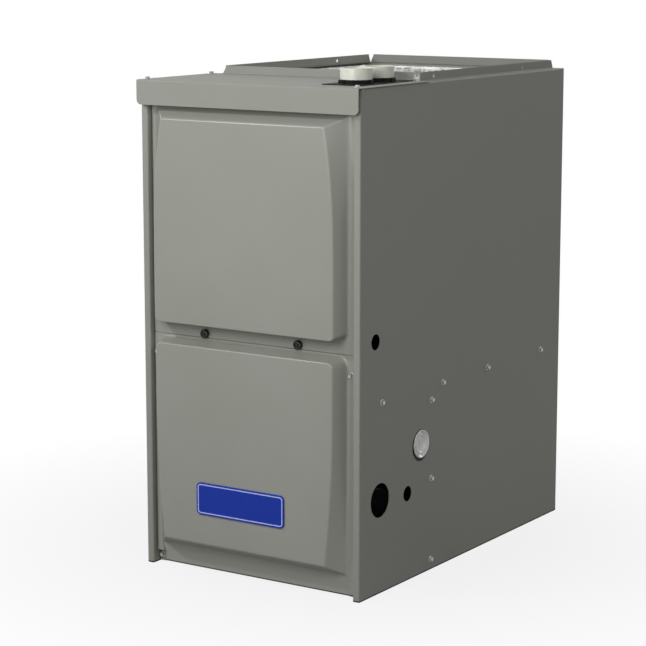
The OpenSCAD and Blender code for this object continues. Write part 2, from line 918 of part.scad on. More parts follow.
module secondary_fins() {
    first = vest_back + fin_inset;
    step = (box_rear_y - fin_inset - first) / (fin_count - 1);
    color("#c7cacb")
        for (i = [0:fin_count - 1])
            along_y(first + i * step - fin_t / 2, first + i * step + fin_t / 2)
                difference() {
                    translate([-coil_half, coil_z[0]])
                        square([2 * coil_half, coil_z[1] - coil_z[0]]);
                    for (p = coil_places)
                        translate(p)
                            circle(r = coil_tube_r + fit, $fn = smooth);
                }
}

module collector_box() {
    wall = 3;
    rib = 2.5;
    color(black)
        difference() {
            union() {
                block([-collector_half, collector_y, collector_z[0]],
                    [collector_half, vest_face, collector_z[1]]);
                block([-collector_half - 6, vest_face - 4, collector_z[0] + 6],
                    [collector_half + 6, vest_face, collector_z[1] - 6]);
                for (x = [-collector_half + 22:30:inducer_x - inducer_r - 16])
                    block([x, collector_y - rib, collector_z[0] + 8],
                        [x + rib, collector_y + 1, collector_z[1] - 8]);
                for (x = pressure_xs)
                    translate([x, pressure_port_y, 0])
                        rod_z(3, collector_z[1] - 1, collector_z[1] + 10);
            }
            block([-collector_half + wall, collector_y + wall, collector_z[0] + wall],
                [collector_half - wall, vest_face - wall, collector_z[1] - wall]);
            translate([inducer_x, 0, inducer_z])
                rod_y(24, collector_y - 5, collector_y + 10);
        }
}

// ---------- Inducer ----------

module inducer_housing() {
    duct = [vent_at[0], vent_at[1]];
    duct_top = pipe_foot_z + 20;
    duct_r = socket_r + 2.8;
    ear = 9;
    color(black)
        difference() {
            union() {
                translate([inducer_x, 0, inducer_z]) {
                    rod_y(inducer_r, inducer_y, collector_y);
                    for (a = [45, 135, 225, 315])
                        translate([(inducer_r + 2) * cos(a), 0, (inducer_r + 2) * sin(a) * 0.86])
                            rod_y(ear, collector_y - 8, collector_y);
                }
                translate([duct[0], duct[1], 0])
                    rod_z(duct_r, inducer_z - 4, duct_top);
            }
            translate([inducer_x, 0, inducer_z]) {
                rod_y(inducer_r - inducer_wall, inducer_y + inducer_wall,
                    collector_y - inducer_wall);
                rod_y(24, collector_y - 10, collector_y + 5);
                rod_y(inducer_shaft_r + run_gap, inducer_y - 5, inducer_y + 10);
            }
            translate([duct[0], duct[1], 0]) {
                rod_z(socket_r - 4, inducer_z, pipe_foot_z + 1);
                rod_z(socket_r, pipe_foot_z, duct_top + 5);
            }
        }
}

module inducer_motor() {
    foot = 10;
    color("#3b3c3e")
        translate([inducer_x, 0, inducer_z])
            difference() {
                union() {
                    translate([0, inducer_y - foot, 0])
                        rotate([90, 0, 0])
                            rotate_extrude($fn = smooth)
                                polygon([[0, 0], [inducer_motor_r - 6, 0],
                                    [inducer_motor_r, 8], [inducer_motor_r, 34],
                                    [inducer_motor_r - 5, 40], [inducer_motor_r - 5, 52],
                                    [14, 58], [14, inducer_motor_len], [0, inducer_motor_len]]);
                    for (a = [30, 150, 270])
                        rotate([0, a, 0])
                            translate([inducer_motor_r - 14, 0, 0])
                                rod_y(5, inducer_y - foot - 10, inducer_y);
                }
                rod_y(inducer_shaft_r + run_gap, inducer_y - 50, inducer_y + 5);
            }
}

module inducer_wheel() {
    vanes = 10;
    disc_y = collector_y - inducer_wall - 6;
    vane_y0 = disc_y - 18;
    color("#8d8f91")
        translate([inducer_x, 0, inducer_z]) {
            difference() {
                rod_y(inducer_wheel_r, disc_y - 2, disc_y);
                rod_y(20, disc_y - 10, disc_y + 5);
            }
            rod_y(inducer_wheel_r, vane_y0 - 2, vane_y0);
            rod_y(9, vane_y0 - 8, vane_y0 + 8);
            rod_y(inducer_shaft_r, inducer_y - 45, vane_y0);
            for (i = [0:vanes - 1])
                rotate([0, i * 360 / vanes, 0])
                    translate([22, 0, 0])
                        rotate([0, 35, 0])
                            block([0, vane_y0 - 1, -0.8], [26, disc_y - 1, 0.8]);
        }
}

// ---------- Burners and gas train ----------

module burner_box() {
    wall = 1;
    color(galvanised)
        difference() {
            block([-burner_box_half, burner_box_y, burner_box_z[0]],
                [burner_box_half, vest_face, burner_box_z[1]]);
            block([-burner_box_half + wall, burner_box_y + wall, burner_box_z[0] + wall],
                [burner_box_half - wall, vest_face + 5, burner_box_z[1] - wall]);
            for (x = tube_xs)
                translate([x, 0, burner_z])
                    rod_y(burner_r + 6, burner_box_y - 5, burner_box_y + 5);
        }
}

module burner() {
    y1 = vest_face;
    translate([0, y1, burner_z])
        rotate([90, 0, 0])
            rotate_extrude($fn = smooth)
                polygon([[burner_r - 1, 0], [port_r + 3, 0], [port_r + 3, 2], [burner_r, 2],
                    [burner_r, 26], [burner_throat_r, 48], [burner_throat_r, 60],
                    [burner_r - 2, burner_len - 2], [burner_r - 2, burner_len],
                    [burner_r - 3.5, burner_len], [burner_throat_r - 1, 59],
                    [burner_throat_r - 1, 49], [burner_r - 1, 27]]);
}

module burners() {
    color("#a9a69b")
        difference() {
            union() {
                for (x = tube_xs)
                    translate([x, 0, 0]) burner();
                block([tube_xs[0], vest_face - 20, burner_z - 2.5],
                    [tube_xs[3], vest_face - 8, burner_z + 2.5]);
            }
            for (x = tube_xs)
                translate([x, 0, burner_z])
                    rod_y(burner_r - 1, vest_face - 24, vest_face + 5);
        }
}

module gas_manifold() {
    end_x = tube_xs[3] + 18;
    spud_r = 5;
    spud_tip = vest_face - burner_len - 2;
    color("#84868a") {
        translate([0, manifold_y, burner_z]) {
            rod_x(manifold_r, valve_x, end_x);
            rod_x(manifold_r + 2.5, end_x - 1, end_x + 10);
        }
        translate([valve_x, manifold_y, 0]) {
            rod_z(manifold_r, valve_top, burner_z);
            translate([0, 0, burner_z])
                sphere(r = manifold_r + 3, $fn = smooth);
        }
        for (x = tube_xs)
            translate([x, 0, burner_z]) {
                rod_y(spud_r + 3, manifold_y + 5, manifold_y + 14);
                rod_y(spud_r, manifold_y, spud_tip);
            }
        for (x = [tube_xs[0] - 27, tube_xs[3] + 27])
            block([x - 4, manifold_y, burner_z - manifold_r - 4],
                [x + 4, burner_box_y, burner_z + manifold_r - 4]);
    }
}

module gas_valve() {
    w = valve_size[0];
    d = valve_size[1];
    h = valve_size[2];
    color("#9a9ca0")
        difference() {
            translate([valve_x, manifold_y, valve_z])
                difference() {
                    union() {
                        block([-w / 2, -d / 2, 0], [w / 2, d / 2, h - 12]);
                        block([-w / 2 + 8, -d / 2 + 6, h - 14], [w / 2 - 8, d / 2 - 6, h]);
                        rod_z(17, h - 1, h + 8);
                        rod_z(19, -14, 1);
                        translate([-16, 0, h * 0.34])
                            rod_y(11, -d / 2 - 14, -d / 2 + 1);
                        block([4, d / 2 - 1, 10], [w / 2 - 3, d / 2 + 12, 40]);
                    }
                    rod_z(13, -20, -4);
                }
            translate(valve_knob_at)
                rod_y(4 + fit, -5, 12);
        }
}

module gas_valve_knob() {
    color(black)
        translate(valve_knob_at) {
            rod_y(4, -1, 10);
            rod_y(11, -9, -0.3);
            block([-2.5, -14, -10], [2.5, -8, 10]);
        }
}

module igniter() {
    x = tube_xs[3] + 17;
    z = probe_z;
    color(white) {
        block([x - 13, vest_face - 3, z - 9], [x + 10, vest_face, z + 14]);
        translate([x, 0, z + 2])
            rod_y(6, vest_face - 42, vest_face - 2);
        translate([x - 9, 0, z - 6])
            rod_y(2, vest_face - 30, vest_face - 2);
    }
}

module flame_sensor() {
    x = tube_xs[0] - 17;
    z = probe_z;
    color("#d8d4c8") {
        block([x - 8, vest_face - 2, z - 8], [x + 12, vest_face, z + 12]);
        translate([x, 0, z + 2])
            rod_y(4, vest_face - 38, vest_face - 1);
        translate([x + 8, 0, z - 4])
            rod_y(1.5, vest_face - 46, vest_face - 1);
    }
}

module rollout_switches() {
    z = burner_box_z[1];
    color("#2c2c2e")
        for (x = rollout_xs)
            translate([x, rollout_y, 0])
                difference() {
                    union() {
                        block([-20, -7, z], [20, 7, z + 1.2]);
                        rod_z(rollout_r, z, z + 9);
                        rod_z(button_r + 3, z + 8, z + 14);
                    }
                    rod_z(button_r + 0.2, z + 6, z + 20);
                }
}

module reset_button(x) {
    z = burner_box_z[1];
    color("#b3261e")
        translate([x, rollout_y, 0])
            rod_z(button_r, z + 6 + button_travel + 0.3, z + 18);
}

module left_reset_button() {
    reset_button(rollout_xs[0]);
}

module right_reset_button() {
    reset_button(rollout_xs[1]);
}

module pressure_switches() {
    z = pressure_z;
    color("#55585c")
        for (x = pressure_xs)
            translate([x, 0, z]) {
                block([-20, vest_face - 2, -36], [20, vest_face, 36]);
                rod_y(30, vest_face - 26, vest_face - 1);
                rod_y(24, vest_face - 34, vest_face - 25);
                translate([0, pressure_port_y, 0])
                    rod_z(3, -44, -20);
            }
}

module pressure_tubes() {
    color("#8a2f2a")
        for (x = pressure_xs)
            translate([x, pressure_port_y, 0])
                difference() {
                    rod_z(5, collector_z[1], pressure_z - 32);
                    rod_z(3 + fit, collector_z[1] - 5, pressure_z - 25);
                }
}

// ---------- Blower ----------

function scroll_radius(a, t) =
    scroll_r0 + (scroll_r1 - scroll_r0) * (a - scroll_start) / (360 - scroll_start) - t;

// Outline of the blower housing in (y, z), its walls t inside the outer face
function scroll_points(t) =
    let (r = scroll_r0 - t, y = scroll_r0 * cos(scroll_start) + t)
    concat([[blower_at[0] + y, deck_z], blower_at + [y, sqrt(r * r - y * y)]],
           [for (a = [scroll_start + scroll_step:scroll_step:360])
               blower_at + scroll_radius(a, t) * [cos(a), sin(a)]],
           [[blower_at[0] + scroll_radius(360, t), deck_z]]);

module blower_housing() {
    color(galvanised)
        both_sides() {
            difference() {
                along_x(housing_half - sheet, housing_half)
                    polygon(scroll_points(0));
                translate([0, blower_at[0], blower_at[1]])
                    rod_x(inlet_r, housing_half - 5, housing_half + 5);
            }
            translate([housing_half, blower_at[0], blower_at[1]])
                rotate([0, -90, 0])
                    rotate_extrude($fn = 96)
                        polygon([[inlet_r + 5, 0], [inlet_r + 1, 1.5],
                            [inlet_r - 1, inlet_lip], [inlet_r - 2, inlet_lip],
                            [inlet_r, 1], [inlet_r + 3, -1.5], [inlet_r + 6, -1.5],
                            [inlet_r + 6, 0]]);
        }
}

module blower_scroll() {
    outer = scroll_points(0);
    inner = scroll_points(sheet);
    color(galvanised)
        along_x(-housing_half + sheet, housing_half - sheet)
            polygon(concat(outer, [for (i = [len(inner) - 1:-1:0]) inner[i]]));
}

// Section of one forward-curved blade: a thin arc from the inner to the outer radius
module blade_section() {
    steps = 5;
    lean = 13;
    half_t = 0.7;
    function spine(u) = let (r = mix(blade_r, wheel_r - 1, u), a = lean * u * u)
        r * [cos(a), sin(a)];
    function normal(u) = left_of(unit(spine(min(1, u + 0.02)) - spine(max(0, u - 0.02))));
    polygon(concat([for (i = [0:steps]) spine(i / steps) + half_t * normal(i / steps)],
                   [for (i = [steps:-1:0]) spine(i / steps) - half_t * normal(i / steps)]));
}

module wheel_ring(r0, r1, x0, x1) {
    difference() {
        rod_x(r1, x0, x1);
        rod_x(r0, x0 - 5, x1 + 5);
    }
}

module blower_wheel() {
    half = wheel_w / 2;
    ring_w = 4;
    color("#9fa3a6")
        translate([0, blower_at[0], blower_at[1]]) {
            rotate([90, 0, 90])
                translate([0, 0, -half])
                    linear_extrude(2 * half)
                        for (i = [0:blade_count - 1])
                            rotate(i * 360 / blade_count)
                                blade_section();
            for (x = [-half, half - ring_w])
                wheel_ring(wheel_r - 7, wheel_r, x, x + ring_w);
            wheel_ring(blade_r - 7, wheel_r - 2, disc_x - disc_t / 2, disc_x + disc_t / 2);
        }
}

// Hub and centre disc, riveted to the side of the wheel's centre ring
module wheel_hub() {
    hub_r = 17;
    hub_half = 13;
    color("#9fa3a6")
        translate([0, blower_at[0], blower_at[1]])
            difference() {
                union() {
                    rod_x(blade_r - 1, disc_x + disc_t / 2, disc_x + 1.5 * disc_t);
                    rod_x(hub_r, disc_x - hub_half, disc_x + hub_half);
                }
                rod_x(shaft_r + 0.02, disc_x - 50, disc_x + 50);
            }
}

module blower_shaft() {
    color("#8b8d90")
        translate([0, blower_at[0], blower_at[1]])
            rod_x(shaft_r, disc_x - 20, motor_x[1] - 12);
}

module blower_motor() {
    r = motor_r;
    len = motor_x[1] - motor_x[0];
    color("#303133")
        translate([motor_x[0], blower_at[0], blower_at[1]])
            rotate([0, 90, 0])
                difference() {
                    rotate_extrude($fn = 72)
                        polygon([[0, 0], [20, 0], [20, 4], [r - 14, 6], [r - 3, 14], [r, 22],
                            [r, len - 24], [r - 3, len - 16], [r - 14, len - 8], [22, len - 6],
                            [22, len], [0, len]]);
                    translate([0, 0, -5])
                        cylinder(r = shaft_r + run_gap, h = len - 5, $fn = smooth);
                    for (a = [0:45:315])
                        rotate([0, 0, a])
                            block([r - 34, -5, len - 14], [r - 18, 5, len + 5]);
                }
}

module motor_mount() {
    arm_x = [band_x + 3, band_x + 6];
    foot_r = inlet_r + 14;
    color(galvanised)
        translate([0, blower_at[0], blower_at[1]]) {
            difference() {
                rod_x(motor_r + band_t, band_x - band_w / 2, band_x + band_w / 2);
                rod_x(motor_r, band_x - 40, band_x + 40);
            }
            for (a = [90, 210, 330])
                rotate([a, 0, 0]) {
                    block([arm_x[0], motor_r + band_t / 2, -7], [arm_x[1], foot_r, 7]);
                    block([housing_half, foot_r - 4, -7], [arm_x[1], foot_r, 7]);
                }
        }
}

// ---------- Controls ----------

module control_tray() {
    color(galvanised) {
        translate([0, 0, tray_foot])
            linear_extrude(deck_under - tray_foot)
                folded([[tray_x[1], tray_y], [tray_x[0], tray_y], [tray_x[0], tray_y - 14]]);
        block([tray_x[0] + 4, tray_y - sheet, deck_under - 1], [tray_x[1], tray_y, deck_z]);
    }
}

module control_board() {
    face = tray_y - sheet - board_gap;
    w = board[0];
    h = board[1];
    color("#2f6b3c")
        translate([board_at[0], face, board_at[1]]) {
            block([0, -1.6, 0], [w, 0, h]);
            for (x = [6, w - 6])
                for (z = [6, h - 6])
                    translate([x, 0, z])
                        rod_y(3, -3, board_gap);
            for (i = [0:2])
                block([12 + i * 32, -20, h - 40], [36 + i * 32, -1, h - 14]);
            block([8, -14, 10], [w - 36, -1, 22]);
            block([w - 28, -18, 10], [w - 12, -1, 56]);
            for (i = [0:1])
                translate([24 + i * 24, 0, 66])
                    rod_y(8, -22, -1);
            for (i = [0:4])
                block([12 + i * 12, -9, 34], [19 + i * 12, -1, 46]);
        }
}

module transformer() {
    x0 = board_at[0] + 4;
    z0 = tray_foot + 12;
    y1 = tray_y - sheet;
    color("#4a4b4e") {
        block([x0, y1 - 44, z0], [x0 + 26, y1, z0 + 64]);
        block([x0 + 8, y1 - 36, z0 - 7], [x0 + 18, y1 - 8, z0 + 71]);
        block([x0 - 13, y1 - 34, z0 + 12], [x0 + 39, y1 - 10, z0 + 52]);
    }
}

module junction_box() {
    y0 = front_y + 40;
    z0 = 215;
    size = [52, 70, 84];
    color(galvanised)
        difference() {
            union() {
                block([-in_x, y0, z0], [-in_x + size[0], y0 + size[1], z0 + size[2]]);
                block([-in_x + size[0], y0 - 2, z0 - 2],
                    [-in_x + size[0] + 1.5, y0 + size[1] + 2, z0 + size[2] + 2]);
            }
            block([-in_x + 1.2, y0 + 1.2, z0 + 1.2],
                [-in_x + size[0] - 0.5, y0 + size[1] - 1.2, z0 + size[2] - 1.2]);
        }
}

module door_switch() {
    color("#26272a")
        difference() {
            union() {
                block([switch_x - 16, switch_y[1] - 2, switch_z - 12],
                    [switch_x + 16, switch_y[1], switch_z + 26]);
                block([switch_x - 10, switch_y[0], switch_z - 9],
                    [switch_x + 10, switch_y[1] - 1, switch_z + 9]);
                translate([switch_x, 0, switch_z])
                    rod_y(plunger_r + 2.5, switch_y[0] - 4, switch_y[0] + 1);
            }
            translate([switch_x, 0, switch_z])
                rod_y(plunger_r + 0.2, switch_y[0] - 5, switch_y[0] + 14);
        }
}

module door_switch_plunger() {
    color("#d9d9d2")
        translate([switch_x, 0, switch_z])
            rod_y(plunger_r, face_y + door_t + seat_gap, switch_y[0] + 13.7);
}

// ---------- Doors ----------

// Half-width at height z of a raised part whose sides draw in towards one end
function half_at(d, full, taper, z) =
    full - taper * pow(max(0, (z - d[9]) / (d[10] - d[9])), d[11]);

// Closed outline in (x, z): right half from foot to top, then its mirror image
function door_outline(d, z0, z1, r0, r1, full, taper) =
    let (foot_x = half_at(d, full, taper, z0 + r0) - r0,
         top_x = half_at(d, full, taper, z1 - r1) - r1,
         right = concat(
             [for (i = [0:corner_steps]) let (a = -90 + 90 * i / corner_steps)
                 [foot_x + r0 * cos(a), z0 + r0 + r0 * sin(a)]],
             [for (i = [1:side_steps]) let (z = mix(z0 + r0, z1 - r1, i / (side_steps + 1)))
                 [half_at(d, full, taper, z), z]],
             [for (i = [0:corner_steps]) let (a = 90 * i / corner_steps)
                 [top_x + r1 * cos(a), z1 - r1 + r1 * sin(a)]]))
    concat(right, [[0, z1]],
           [for (i = [len(right) - 1:-1:0]) [-right[i][0], right[i][1]]], [[0, z0]]);

// Ring of the flat flange, drawn in by g
function flange_ring(z, g, y) =
    [for (p = door_outline(upper_rise, z[0] + g, z[1] - g, 1, 1, door_half - g, 0))
        [p[0], y, p[1]]];

// Ring of the raised part: f runs from 0 at its foot to 1 at its face, g spreads it
function rise_ring(d, f, g, y) =
    [for (p = door_outline(d, mix(d[0], d[4], f) - g, mix(d[1], d[5], f) + g,
            max(0.6, mix(d[2], d[6], f) + g), max(0.6, mix(d[3], d[7], f) + g),
            rise_half - side_draft * f + g, d[8] * f))
        [p[0], y, p[1]]];

// Pressed door sheet: rings from the middle of its back, round its folded edge, to its face
module pressed_door(d, z) {
    t = door_t;
    rings = [
        rise_ring(d, 1, -4 - 0.4 * t, face_y + t),
        rise_ring(d, 1, -1.2 - 0.8 * t, face_y + 1.2 + 0.9 * t),
        rise_ring(d, 0.9, -t, face_y + 0.1 * door_rise + 0.3 * t),
        rise_ring(d, 0.1, -t, flange_y - 0.1 * door_rise + 0.6 * t),
        rise_ring(d, 0.03, 0.8 - 0.8 * t, flange_y - 1 + 0.9 * t),
        rise_ring(d, 0, 2.4 - 0.3 * t, flange_y + t),
        flange_ring(z, 1.6 + 0.3 * t, flange_y + t),
        flange_ring(z, 0.5 + 0.8 * t, flange_y + 0.5 + 0.8 * t),
        flange_ring(z, t, flange_y + 1.8 + 0.5 * t),
        flange_ring(z, t, flange_y + door_ret),
        flange_ring(z, 0, flange_y + door_ret),
        flange_ring(z, 0, flange_y + 1.8),
        flange_ring(z, 0.5, flange_y + 0.5),
        flange_ring(z, 1.6, flange_y),
        rise_ring(d, 0, 2.4, flange_y),
        rise_ring(d, 0.03, 0.8, flange_y - 1),
        rise_ring(d, 0.1, 0, flange_y - 0.1 * door_rise),
        rise_ring(d, 0.9, 0, face_y + 0.1 * door_rise),
        rise_ring(d, 1, -1.2, face_y + 1.2),
        rise_ring(d, 1, -4, face_y)];
    n = len(rings[0]);
    last = len(rings) - 1;
    mid_z = (d[4] + d[5]) / 2;
    polyhedron(
        points = concat([for (ring = rings) each ring],
                        [[0, face_y + t, mid_z], [0, face_y, mid_z]]),
        faces = concat(
            [for (k = [0:last - 1]) for (i = [0:n - 1]) let (j = (i + 1) % n)
                each [[k * n + i, (k + 1) * n + i, (k + 1) * n + j],
                      [k * n + i, (k + 1) * n + j, k * n + j]]],
            [for (i = [0:n - 1]) [(last + 1) * n, i, (i + 1) % n]],
            [for (i = [0:n - 1]) [last * n + i, (last + 1) * n + 1, last * n + (i + 1) % n]]));
}

module upper_door() {
    color(steel)
        difference() {
            pressed_door(upper_rise, [upper_foot, upper_top]);
            for (x = knob_xs)
                translate([x, 0, knob_z])
                    rod_y(knob_stud_r + 0.25, flange_y - 5, flange_y + 5);
        }
}

module lower_door() {
    color(steel)
        difference() {
            pressed_door(lower_rise, [door_foot, lower_top]);
            for (s = [-1, 1])
                translate([s * side_screw[0], 0, side_screw[1]])
                    rod_y(screw_hole_r, flange_y - 5, flange_y + 5);
            both_sides()
                block([door_half - notch_w, flange_y - 5, 0],
                    [door_half + 5, flange_y + door_ret + 5, door_foot + notch_h]);
        }
}

module badge_plate() {
    rim = 2;
    color("#2233a0")
        translate([badge_x, 0, badge_z])
            difference() {
                rounded_plate(badge_w, badge_h, badge_r, face_y - badge_t, face_y);
                rounded_plate(badge_w - 2 * rim, badge_h - 2 * rim, badge_r - rim,
                    face_y - badge_t - 5, face_y - badge_t + 0.6);
            }
}

module door_knob(x) {
    y = flange_y - seat_gap;
    head = knob_head;
    color(black)
        translate([x, 0, knob_z]) {
            translate([0, y, 0])
                rotate([90, 0, 0])
                    rotate_extrude($fn = smooth)
                        polygon([[0, 0], [knob_r, 0], [knob_r, head - 2],
                            [knob_r - 1.5, head], [knob_r - 3.5, head],
                            [knob_r - 4, head - 2.5], [0, head - 2.5]]);
            rod_y(knob_stud_r, y - 2, seat_y + sheet + 6);
            block([-1.2, y - head, -knob_r + 2], [1.2, y - 2, knob_r - 2]);
        }
}

module left_door_knob() {
    door_knob(knob_xs[0]);
}

module right_door_knob() {
    door_knob(knob_xs[1]);
}

left_side_panel();
right_side_panel();
back_panel();
top_cap();
base_rails();
bottom_closure_panel();
vestibule_panel();
blower_deck();
door_rail();
side_stiffeners();
duct_liners();
cabinet_screws();
top_screws();
hole_plugs();
pipe_gasket();
intake_coupling();
vent_coupling();
vent_pipe();
condensate_trap();
trap_cap();
drain_hose();
primary_tubes();
coupling_box();
secondary_tubes();
secondary_fins();
collector_box();
burner_box();
burners();
gas_manifold();
gas_valve();
gas_valve_knob();
igniter();
flame_sensor();
rollout_switches();
left_reset_button();
right_reset_button();
inducer_housing();
inducer_motor();
inducer_wheel();
pressure_switches();
pressure_tubes();
blower_housing();
blower_scroll();
blower_wheel();
wheel_hub();
blower_shaft();
blower_motor();
motor_mount();
control_tray();
control_board();
transformer();
junction_box();
door_switch();
door_switch_plunger();
upper_door();
lower_door();
badge_plate();
left_door_knob();
right_door_knob();
door_screws();
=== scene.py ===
import json
import math

import bmesh
import bpy
import numpy as np
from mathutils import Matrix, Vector


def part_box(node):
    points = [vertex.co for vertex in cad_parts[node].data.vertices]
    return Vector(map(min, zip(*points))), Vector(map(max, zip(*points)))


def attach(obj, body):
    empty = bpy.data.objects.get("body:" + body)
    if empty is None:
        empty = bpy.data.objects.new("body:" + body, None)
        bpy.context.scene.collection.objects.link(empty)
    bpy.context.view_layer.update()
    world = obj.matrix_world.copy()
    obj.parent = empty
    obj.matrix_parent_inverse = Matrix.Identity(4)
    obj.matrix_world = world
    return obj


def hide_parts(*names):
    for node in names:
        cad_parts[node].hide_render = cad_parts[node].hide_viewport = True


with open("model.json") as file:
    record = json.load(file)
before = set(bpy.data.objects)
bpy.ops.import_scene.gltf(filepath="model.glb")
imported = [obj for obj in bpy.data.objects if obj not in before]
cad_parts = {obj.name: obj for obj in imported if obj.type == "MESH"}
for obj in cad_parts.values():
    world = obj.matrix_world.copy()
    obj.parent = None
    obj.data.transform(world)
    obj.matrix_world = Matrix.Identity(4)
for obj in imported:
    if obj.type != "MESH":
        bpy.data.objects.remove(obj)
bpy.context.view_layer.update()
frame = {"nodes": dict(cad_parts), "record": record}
nodes = frame["nodes"]
print("frame:", len(nodes), "nodes")

mm = 0.001  # lengths are in millimetres below, unless a note says metres


# The shared tools: colours, shader nodes, grids and pieces.

def linear(hexColour):
    channels = [int(hexColour[i:i + 2], 16) / 255 for i in (1, 3, 5)]
    return [c / 12.92 if c <= 0.04045 else ((c + 0.055) / 1.055) ** 2.4 for c in channels] + [1.0]


def addNode(tree, kind, inputs=None, **settings):
    made = tree.nodes.new("ShaderNode" + kind)
    for name, value in settings.items():
        setattr(made, name, value)
    for name, value in (inputs or {}).items():
        if isinstance(value, bpy.types.NodeSocket):
            tree.links.new(value, made.inputs[name])
        else:
            made.inputs[name].default_value = value
    return made


def startMaterial(name, colour, roughness, **sockets):
    # one principled shader, and the object coordinates that its patterns read
    material = bpy.data.materials.new(name)
    material.use_nodes = True
    tree = material.node_tree
    tree.nodes.clear()
    shader = addNode(tree, "BsdfPrincipled", {"Base Color": linear(colour), "Roughness": roughness})
    for socket, value in sockets.items():
        shader.inputs[socket.replace("_", " ")].default_value = value
    addNode(tree, "OutputMaterial", {"Surface": shader.outputs["BSDF"]})
    place = addNode(tree, "TexCoord").outputs["Object"]
    return material, tree, shader, place


def spread(tree, shader, field, colours=None, gloss=None, height=None, span=(0.3, 0.7)):
    # lets one pattern vary a finish: colour between two tones, roughness between two values,
    # and height by so many millimetres
    if colours:
        share = addNode(tree, "MapRange", {"Value": field, "From Min": span[0], "From Max": span[1]})
        tones = addNode(tree, "Mix", {0: share.outputs["Result"], 6: linear(colours[0]),
                                      7: linear(colours[1])}, data_type="RGBA")
        tree.links.new(tones.outputs[2], shader.inputs["Base Color"])
    if gloss:
        ranged = addNode(tree, "MapRange", {"Value": field, "From Min": span[0], "From Max": span[1],
                                            "To Min": gloss[0], "To Max": gloss[1]})
        tree.links.new(ranged.outputs["Result"], shader.inputs["Roughness"])
    if height:
        bump = addNode(tree, "Bump", {"Height": field, "Distance": height * mm})
        for link in shader.inputs["Normal"].links:
            tree.links.new(link.from_socket, bump.inputs["Normal"])
        tree.links.new(bump.outputs["Normal"], shader.inputs["Normal"])


def perMetre(sizeMm):
    # texture scale at which one feature is so many millimetres wide
    return 1000.0 / sizeMm


def gridFaces(rows, columns, wrapRows=False, wrapColumns=False):
    # quads between the neighbours of a grid of points that is stored row by row
    i = np.arange(rows if wrapRows else rows - 1)[:, None]
    j = np.arange(columns if wrapColumns else columns - 1)[None, :]
    up, along = (i + 1) % rows, (j + 1) % columns
    corners = [i * columns + j, i * columns + along, up * columns + along, up * columns + j]
    return np.stack(corners, -1).reshape(-1, 4)


def gridSurface(grid, wrapRows=False, wrapColumns=False):
    # a surface is its points and its faces
    rows, columns = grid.shape[:2]
    return grid.reshape(-1, 3), gridFaces(rows, columns, wrapRows, wrapColumns).tolist()


def turned(surface):
    # the same surface, facing the other way
    return surface[0], [face[::-1] for face in surface[1]]


def together(surfaces):
    # several surfaces as one
    points, faces, start = [], [], 0
    for part, partFaces in surfaces:
        points.append(part)
        faces += [[corner + start for corner in face] for face in partFaces]
        start += len(part)
    return np.concatenate(points), faces


def placed(surface, centre, axis="z"):
    # turns a surface made about +Z to stand along an axis, then moves it to its centre
    turns = {"z": np.eye(3),
             "x": np.array([[0, 0, 1], [1, 0, 0], [0, 1, 0]]),
             "-x": np.array([[0, 0, -1], [-1, 0, 0], [0, 1, 0]]),
             "-y": np.array([[1, 0, 0], [0, 0, -1], [0, 1, 0]])}
    return surface[0] @ turns[axis].T + np.array(centre, float), surface[1]


def lathe(profile, segments=96, closed=False):
    # point (r, h) of the profile at angle a goes to (r cos a, r sin a, h)
    profile = np.array(profile, float)
    angle = np.linspace(0, 2 * math.pi, segments, endpoint=False)
    r, h = profile[:, :1], profile[:, 1:]
    grid = np.stack([r * np.cos(angle), r * np.sin(angle), h + 0 * angle], -1)
    return gridSurface(grid, closed, True)


def rounded(corners, radius, steps=4):
    # a profile whose inner corners are turned into arcs of about that radius, by quadratic curves
    corners = np.array(corners, float)
    out = [corners[:1]]
    t = np.linspace(0, 1, steps + 1)[:, None]
    for before, here, after in zip(corners[:-2], corners[1:-1], corners[2:]):
        reach = [min(radius, 0.45 * np.linalg.norm(p - here)) for p in (before, after)]
        a = here + (before - here) / np.linalg.norm(before - here) * reach[0]
        b = here + (after - here) / np.linalg.norm(after - here) * reach[1]
        out.append((1 - t) ** 2 * a + 2 * t * (1 - t) * here + t ** 2 * b)
    return np.concatenate(out + [corners[-1:]])


def block(low, high):
    # the eight corners and six faces of a box
    low, high = np.array(low, float), np.array(high, float)
    bits = np.array([[i & 1, i >> 1 & 1, i >> 2 & 1] for i in range(8)])
    faces = [[0, 2, 3, 1], [4, 5, 7, 6], [0, 1, 5, 4], [2, 6, 7, 3], [0, 4, 6, 2], [1, 3, 7, 5]]
    return low + bits * (high - low), faces


def boxOf(node):
    # lowest and highest corner of a CAD node
    return [np.array(corner) * 1000 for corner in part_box(node)]


def makePiece(name, surface, material, body, replaces=(), crease=35, wall=0):
    # puts a surface into a mesh in metres, welds its poles, and gives a sheet its wall; edges
    # sharper than the crease angle stay sharp
    points, faces = surface
    mesh = bpy.data.meshes.new(name)
    mesh.from_pydata((points * mm).tolist(), [], faces)
    shape = bmesh.new()
    shape.from_mesh(mesh)
    bmesh.ops.remove_doubles(shape, verts=shape.verts, dist=1e-6)
    bmesh.ops.delete(shape, geom=[v for v in shape.verts if not v.link_faces], context="VERTS")
    shape.to_mesh(mesh)
    shape.free()
    piece = bpy.data.objects.new(name, mesh)
    bpy.context.scene.collection.objects.link(piece)
    if wall:
        solid = piece.modifiers.new("wall", "SOLIDIFY")
        solid.thickness = wall * mm
        solid.offset = -1
        solid.use_even_offset = True
        made = piece.evaluated_get(bpy.context.evaluated_depsgraph_get())
        piece.data = bpy.data.meshes.new_from_object(made)
        piece.data.name = name
        piece.modifiers.clear()
    piece.data.shade_smooth()
    piece.data.set_sharp_from_angle(angle=math.radians(crease))
    piece.data.materials.clear()
    piece.data.materials.append(material)
    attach(piece, body)
    if replaces:
        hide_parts(*replaces)
    return piece


